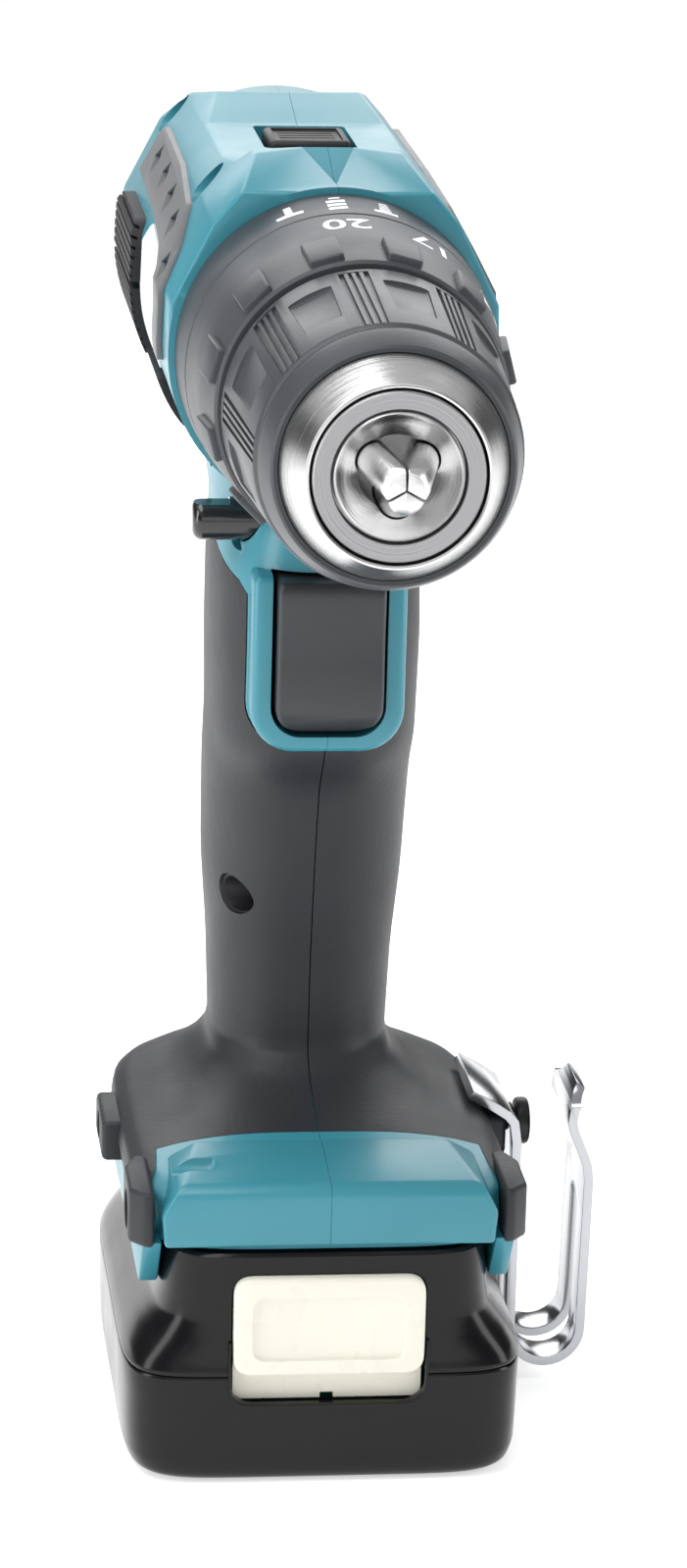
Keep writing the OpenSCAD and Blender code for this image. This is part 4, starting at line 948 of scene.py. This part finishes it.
def rounded(points, radius, steps=4):
    """An outline with its corners rounded."""
    outline = []
    for k, here in enumerate(points):
        here = Vector(here)
        before, after = Vector(points[k - 1]), Vector(points[(k + 1) % len(points)])
        start = here + (before - here).normalized() * min(radius, (before - here).length / 2.1)
        end = here + (after - here).normalized() * min(radius, (after - here).length / 2.1)
        outline += [tuple(start.lerp(here, n / steps).lerp(here.lerp(end, n / steps), n / steps))
                    for n in range(steps + 1)]
    return outline


trim_outline = rounded([(2, axis - 4), (1, axis + 6), (6, axis + 13.5), (18, axis + 18.5),
                        (42, axis + 20.5), (80, axis + 20.8), (82, axis + 13),
                        (46, axis + 12.3), (24, axis + 11), (14, axis + 8.6), (10.5, axis + 4),
                        (11.5, axis - 4)], 1.6)
label_outline = rounded([(12.4, axis + 4), (15, axis + 7.6), (25, axis + 9.8), (43, axis + 10.8),
                         (45, axis + 9), (45, axis - 6), (42, axis - 8.4), (17, axis - 8.4),
                         (13, axis - 5)], 1.4)
vent_places = [(9, axis + 10.2), (22, axis + 14.8), (37, axis + 16.2), (53, axis + 17),
               (69, axis + 17)]
for side, hand in ((-1, "right"), (1, "left")):
    trim = cheek_skin(0.02, 1.0, trim_outline, side)
    soften(trim, 0.3, 2, 50)
    holes = []
    for y, z in vent_places:
        hole = plate([(y - 3.4, z), (y, z + 2.4), (y + 3.4, z), (y, z - 2.4)], "X", side * 14,
                     side * 60)
        holes.append(hole)
    cut(trim, join(holes))
    settle(trim, f"vent_band_{hand}", "housing", "trim_plastic", f"vent_trim_{hand}")
    label = cheek_skin(0.02, 0.35, label_outline, side)
    settle(label, f"blank_plate_{hand}", "housing", "label_film", f"label_plate_{hand}")

# %% [markdown]
# The bumpers keep the drill off the bench when it lies on its side. Fine grooves run along
# them, so that they show a saw-toothed edge from the front.
# %% Bumpers
for side, hand in ((-1, "right"), (1, "left")):
    rear_pad = cheek_skin(-0.8, 1.9, rounded([(48, axis - 13), (48, axis + 6), (52, axis + 9.5),
                                              (82, axis + 9.5), (86, axis + 4), (86, axis - 13)], 3),
                          side)
    front_pad = cheek_skin(-0.8, 1.4, rounded([(15, axis - 17.8), (13.4, axis - 14), (16, axis - 10),
                                               (40, axis - 10), (43.4, axis - 14),
                                               (42, axis - 17.8)], 2), side)
    flutes = []
    for k in range(17):
        flute = block((-0.26, 46, axis + barrel_r + 1.4), (0.26, 88, axis + barrel_r + 4))
        flutes.append(round_axis(flute, side * (66 + k * 3.2)))
    cut(rear_pad, join(flutes))
    cut(rear_pad, block((side * 10, 46, axis - 1.4), (side * 60, 90, axis - 0.2))
        if side > 0 else block((-60, 46, axis - 1.4), (-10, 90, axis - 0.2)))
    pads = join([rear_pad, front_pad])
    settle(pads, f"bumper_pads_{hand}", "housing", "bumper_rubber", f"bumper_{hand}")

# %% [markdown]
# ## Screws and the work lamp
# One screw is made and copied into every recess: a round head with a six-sided socket.
# %% Screws
screws = []
for y, z in screw_places:
    head = rod(2.9, (-9, y, z), (-7, y, z))
    cut(head, rod(1.3, (-10, y, z), (-7.9, y, z), 6))
    soften(head, 0.25, 2, 50)
    cut(head, rod(1.4, (-7.4, y, z), (9, y, z), 24), "UNION")
    screws.append(head)
settle(join(screws), "shell_screws", "housing", "screw_steel", "housing_screws")
lens = rod(2.5, (0, -13.9, reversing_z - 3.4), (0, -9.8, reversing_z - 3.4))
soften(lens, 1.2, 5)
settle(lens, "lamp_glass", "housing", "clear_lens", "lamp_lens")

# %% [markdown]
# ## Trigger and reversing button
# The trigger is a slab with a hollowed front where the finger lies and rounded lower corners.
# %% Trigger
trigger_low, trigger_high = low_mm("trigger"), high_mm("trigger")
trigger_top = trigger_z + 25.5
front = trigger_low[1]
lever = plate([(front + 4.5, trigger_z), (front + 2, trigger_z + 1.6), (front + 0.7, trigger_z + 4),
               (front + 0.2, trigger_z + 7.5), (front + 0.5, trigger_z + 12),
               (front + 0.7, trigger_z + 16), (front + 0.4, trigger_z + 21),
               (front + 0.3, trigger_z + 24), (front + 1.2, trigger_top),
               (front + 13, trigger_top), (front + 13, trigger_z)], "X", -trigger_half,
              trigger_half)
cut(lever, plate(trigger_frame(trigger_half, trigger_z, trigger_top, 4.6), "Y", -40, 20),
    "INTERSECT")
soften(lever, 1.1, 4, 30)
cut(lever, rod(2.4, (0, front + 12, trigger_z + 15), (0, trigger_high[1], trigger_z + 15)),
    "UNION")
settle(lever, "trigger_lever", "trigger", "trigger_plastic", "trigger")

# %% Reversing button
bar_piece = rod(3.5, (reversing_low[0], reversing_y, reversing_z),
                (reversing_high[0], reversing_y, reversing_z))
soften(bar_piece, 1.7, 5)
cut(bar_piece, block((reversing_low[0] - 1, -10, reversing_z + 2.7),
                     (reversing_low[0] + 6, 10, reversing_z + 6)))
settle(bar_piece, "direction_button", "reversing_button", "button_plastic", "reversing_button")

# %% [markdown]
# ## The battery
# A slim pack in two gloss black cases. The lower one is a tray with soft corners. The upper one
# narrows over a hollow curve to the deck that slides into the foot, and the release button sits
# in its front.
# %% Lower case
lower_slices = [
    [0, front_y + 4.2, back_y - 4.2, half_w - 4.2, 7], [0.5, front_y + 2.4, back_y - 2.4,
                                                       half_w - 2.4, 7.5],
    [1.8, front_y + 1.1, back_y - 1.1, half_w - 1.1, 8],
    [4.5, front_y + 0.35, back_y - 0.35, half_w - 0.35, 8],
    [case_z - 0.5, front_y, back_y, half_w, 8],
    [case_z - 0.1, front_y + 0.15, back_y - 0.15, half_w - 0.15, 8]]
upper_slices = [
    [case_z + 0.1, front_y + 0.2, back_y - 0.2, half_w - 0.2, 8],
    [case_z + 0.6, front_y + 0.05, back_y - 0.1, half_w - 0.05, 8],
    [case_z + 2.0, front_y + 0.3, back_y - 0.3, half_w - 0.6, 8],
    [case_z + 4.2, front_y + 0.5, back_y - 0.4, half_w - 1.9, 7.6],
    [case_z + 7.0, front_y + 0.7, back_y - 0.5, half_w - 3.7, 7],
    [case_z + 9.6, front_y + 0.9, back_y - 0.6, half_w - 5.2, 7],
    [deck_z - 0.5, front_y + 1.2, back_y - 0.8, half_w - 6.1, 7],
    [deck_z, front_y + 1.7, back_y - 1.2, half_w - 6.5, 7]]
release_low, release_high = low_mm("release_button"), high_mm("release_button")
release_half = release_high[0]


def release_hole(grow, low, high):
    """The opening for the release button, with rounded corners."""
    return plate(rounded([(-release_half - grow, release_low[2] - grow),
                          (-release_half - grow, release_high[2] + grow),
                          (release_half + grow, release_high[2] + grow),
                          (release_half + grow, release_low[2] - grow)], 3.6, 6), "Y", low, high)


lower_case = lofted(lower_slices, sides=96, steps=3)
lower_inside = lofted([[s[0] + 1.6 if k < 2 else s[0] + 1.7] + s[1:4] + [s[4] + 1]
                       for k, s in enumerate(lower_slices)], 1.6, sides=96, steps=2)
cut(lower_case, lower_inside)
cut(lower_case, release_hole(0.3, -60, front_y + 9))
foot_pits = []
for x in (-24, 24):
    for y in (-30, 30):
        foot_pits.append(rod(2.9, (x, y, -1), (x, y, 1), 32))
cut(lower_case, join(foot_pits))
settle(lower_case, "pack_lower_case", "battery", "case_plastic", "battery_lower_case")

# %% Upper case
upper_case = lofted(upper_slices, sides=96, steps=3)
cut(upper_case, lofted([[s[0] - 1.8] + s[1:] for s in upper_slices], 1.6, sides=96, steps=2))
cut(upper_case, release_hole(0.3, -60, front_y + 9))
deck_reach = half_w - 6.2
for side in (-1, 1):
    groove = sorted((side * (deck_reach - 1.9), side * (deck_reach + 4)))
    cut(upper_case, block((groove[0], foot_front + 11, foot_z - 4.6),
                          (groove[1], back_y + 1, foot_z - 2.0)))
slots = [block((x - 1.1, 7, foot_z - 5), (x + 1.1, back_y + 1, deck_z + 1)) for x in (-9, 0, 9)]
cut(upper_case, join(slots))
settle(upper_case, "pack_upper_case", "battery", "case_plastic", "battery_upper_case")

# %% [markdown]
# The button is a cream cap with rounded corners and a dished face. A strip of the same
# moulding shows below it, with a small catch notch in its lower edge, inside a thin raised lip.
# %% Release button
cap_z = release_high[2] - 16.7
cap = plate(rounded([(-release_half, cap_z), (-release_half, release_high[2]),
                     (release_half, release_high[2]), (release_half, cap_z)], 3.2, 6), "Y",
            release_low[1], release_low[1] + 4.5)
soften(cap, 0.8, 4, 50)
dish = plate(rounded([(-release_half + 3, cap_z + 2.6), (-release_half + 3, release_high[2] - 3),
                      (release_half - 3, release_high[2] - 3), (release_half - 3, cap_z + 2.6)],
                     2.4, 5), "Y", release_low[1] - 1, release_low[1] + 0.55)
soften(dish, 0.5, 3, 50)
cut(cap, dish)
strip = plate(rounded([(-release_half + 0.2, release_low[2]), (-release_half + 0.2, cap_z + 4),
                       (release_half - 0.2, cap_z + 4), (release_half - 0.2, release_low[2])],
                      1.4, 3), "Y", release_low[1] + 2.9, release_low[1] + 4.5)
cut(strip, block((-1.1, release_low[1], release_low[2] - 1),
                 (1.1, release_low[1] + 6, release_low[2] + 0.9)))
cut(cap, strip, "UNION")
settle(cap, "release_cap", "release_button", "cream_plastic", "release_button")
lip = release_hole(0.75, front_y - 0.15, front_y + 2.5)
cut(lip, release_hole(0.28, -60, 0))
cut(lip, block((-40, -60, 0), (40, 0, case_z + 6)), "INTERSECT")
soften(lip, 0.15, 2, 40)
settle(lip, "release_lip", "battery", "case_plastic")

# %% [markdown]
# ## The belt hook
# One strip of plated spring steel: a flange on the foot, a leg down its side, a round bend and a
# longer leg back up to a kicked-out tip. A slot splits the bend into two narrow bands.
# %% Belt hook
leg_x = foot_half + 1.6
bend_r, bend_z = 6.0, 9.4
hook_low, hook_high = low_mm("belt_hook"), high_mm("belt_hook")
outer_x = leg_x + 2 * bend_r
path = ([(leg_x - 8, foot_z + 11.6), (leg_x - 4, foot_z + 9.4), (leg_x - 1.6, foot_z + 7.8),
         (leg_x - 0.5, foot_z + 6.4), (leg_x, foot_z + 3), (leg_x, bend_z + 4)]
        + arc(leg_x + bend_r, bend_z, bend_r, 180, 360, 16)
        + [(outer_x + 0.4, foot_z - 10), (outer_x + 0.5, foot_z - 4), (outer_x + 0.2, foot_z - 1.5),
           (outer_x - 0.6, foot_z + 0.8), (outer_x - 2.2, foot_z + 4.6),
           (outer_x - 2.6, foot_z + 6.4), (outer_x - 2.3, foot_z + 8.6),
           (outer_x - 1.4, foot_z + 10.4), (outer_x - 0.7, foot_z + 11.5)])


def strip_outline(path, thickness):
    """The two sides of a bent strip, seen on edge."""
    left, right = [], []
    for k, here in enumerate(path):
        ahead = Vector(path[min(k + 1, len(path) - 1)]) - Vector(path[max(k - 1, 0)])
        side = Vector((-ahead.y, ahead.x)).normalized() * thickness / 2
        left.append(tuple(Vector(here) + side))
        right.append(tuple(Vector(here) - side))
    return left + right[::-1]


hook = plate(strip_outline(path, 1.6), "Y", hook_low[1], hook_high[1])
hook_y = (hook_low[1] + hook_high[1]) / 2
cut(hook, plate(rounded([(hook_y - 3, -2), (hook_y - 3, foot_z - 8), (hook_y + 3, foot_z - 8),
                         (hook_y + 3, -2)], 2.9, 6), "X", leg_x - 3, leg_x + 30))
cut(hook, rod(2.2, (leg_x - 10, hook_y, foot_z + 3.4), (leg_x + 4, hook_y, foot_z + 3.4)))
for y in (hook_low[1], hook_high[1]):
    cut(hook, rod(6, (leg_x + 6, y, foot_z + 15.2), (leg_x + 20, y, foot_z + 15.2)))
soften(hook, 0.35, 3, 50)
settle(hook, "hook_strip", "housing", "plated_steel", "belt_hook", angle=40)
screw_x = leg_x + 0.8
hook_bolt = rod(4, (screw_x + 0.02, hook_y, foot_z + 3.4), (screw_x + 2.4, hook_y, foot_z + 3.4))
soften(hook_bolt, 0.7, 4)
cut(hook_bolt, block((screw_x + 1.4, hook_y - 3.4, foot_z + 2.9),
                     (screw_x + 4, hook_y + 3.4, foot_z + 3.9)))
cut(hook_bolt, block((screw_x + 1.4, hook_y - 0.5, foot_z), (screw_x + 4, hook_y + 0.5, foot_z + 7)))
cut(hook_bolt, rod(1.6, (foot_half - 7, hook_y, foot_z + 3.4), (screw_x + 1, hook_y, foot_z + 3.4)),
    "UNION")
settle(hook_bolt, "hook_bolt", "housing", "screw_steel", "hook_screw")
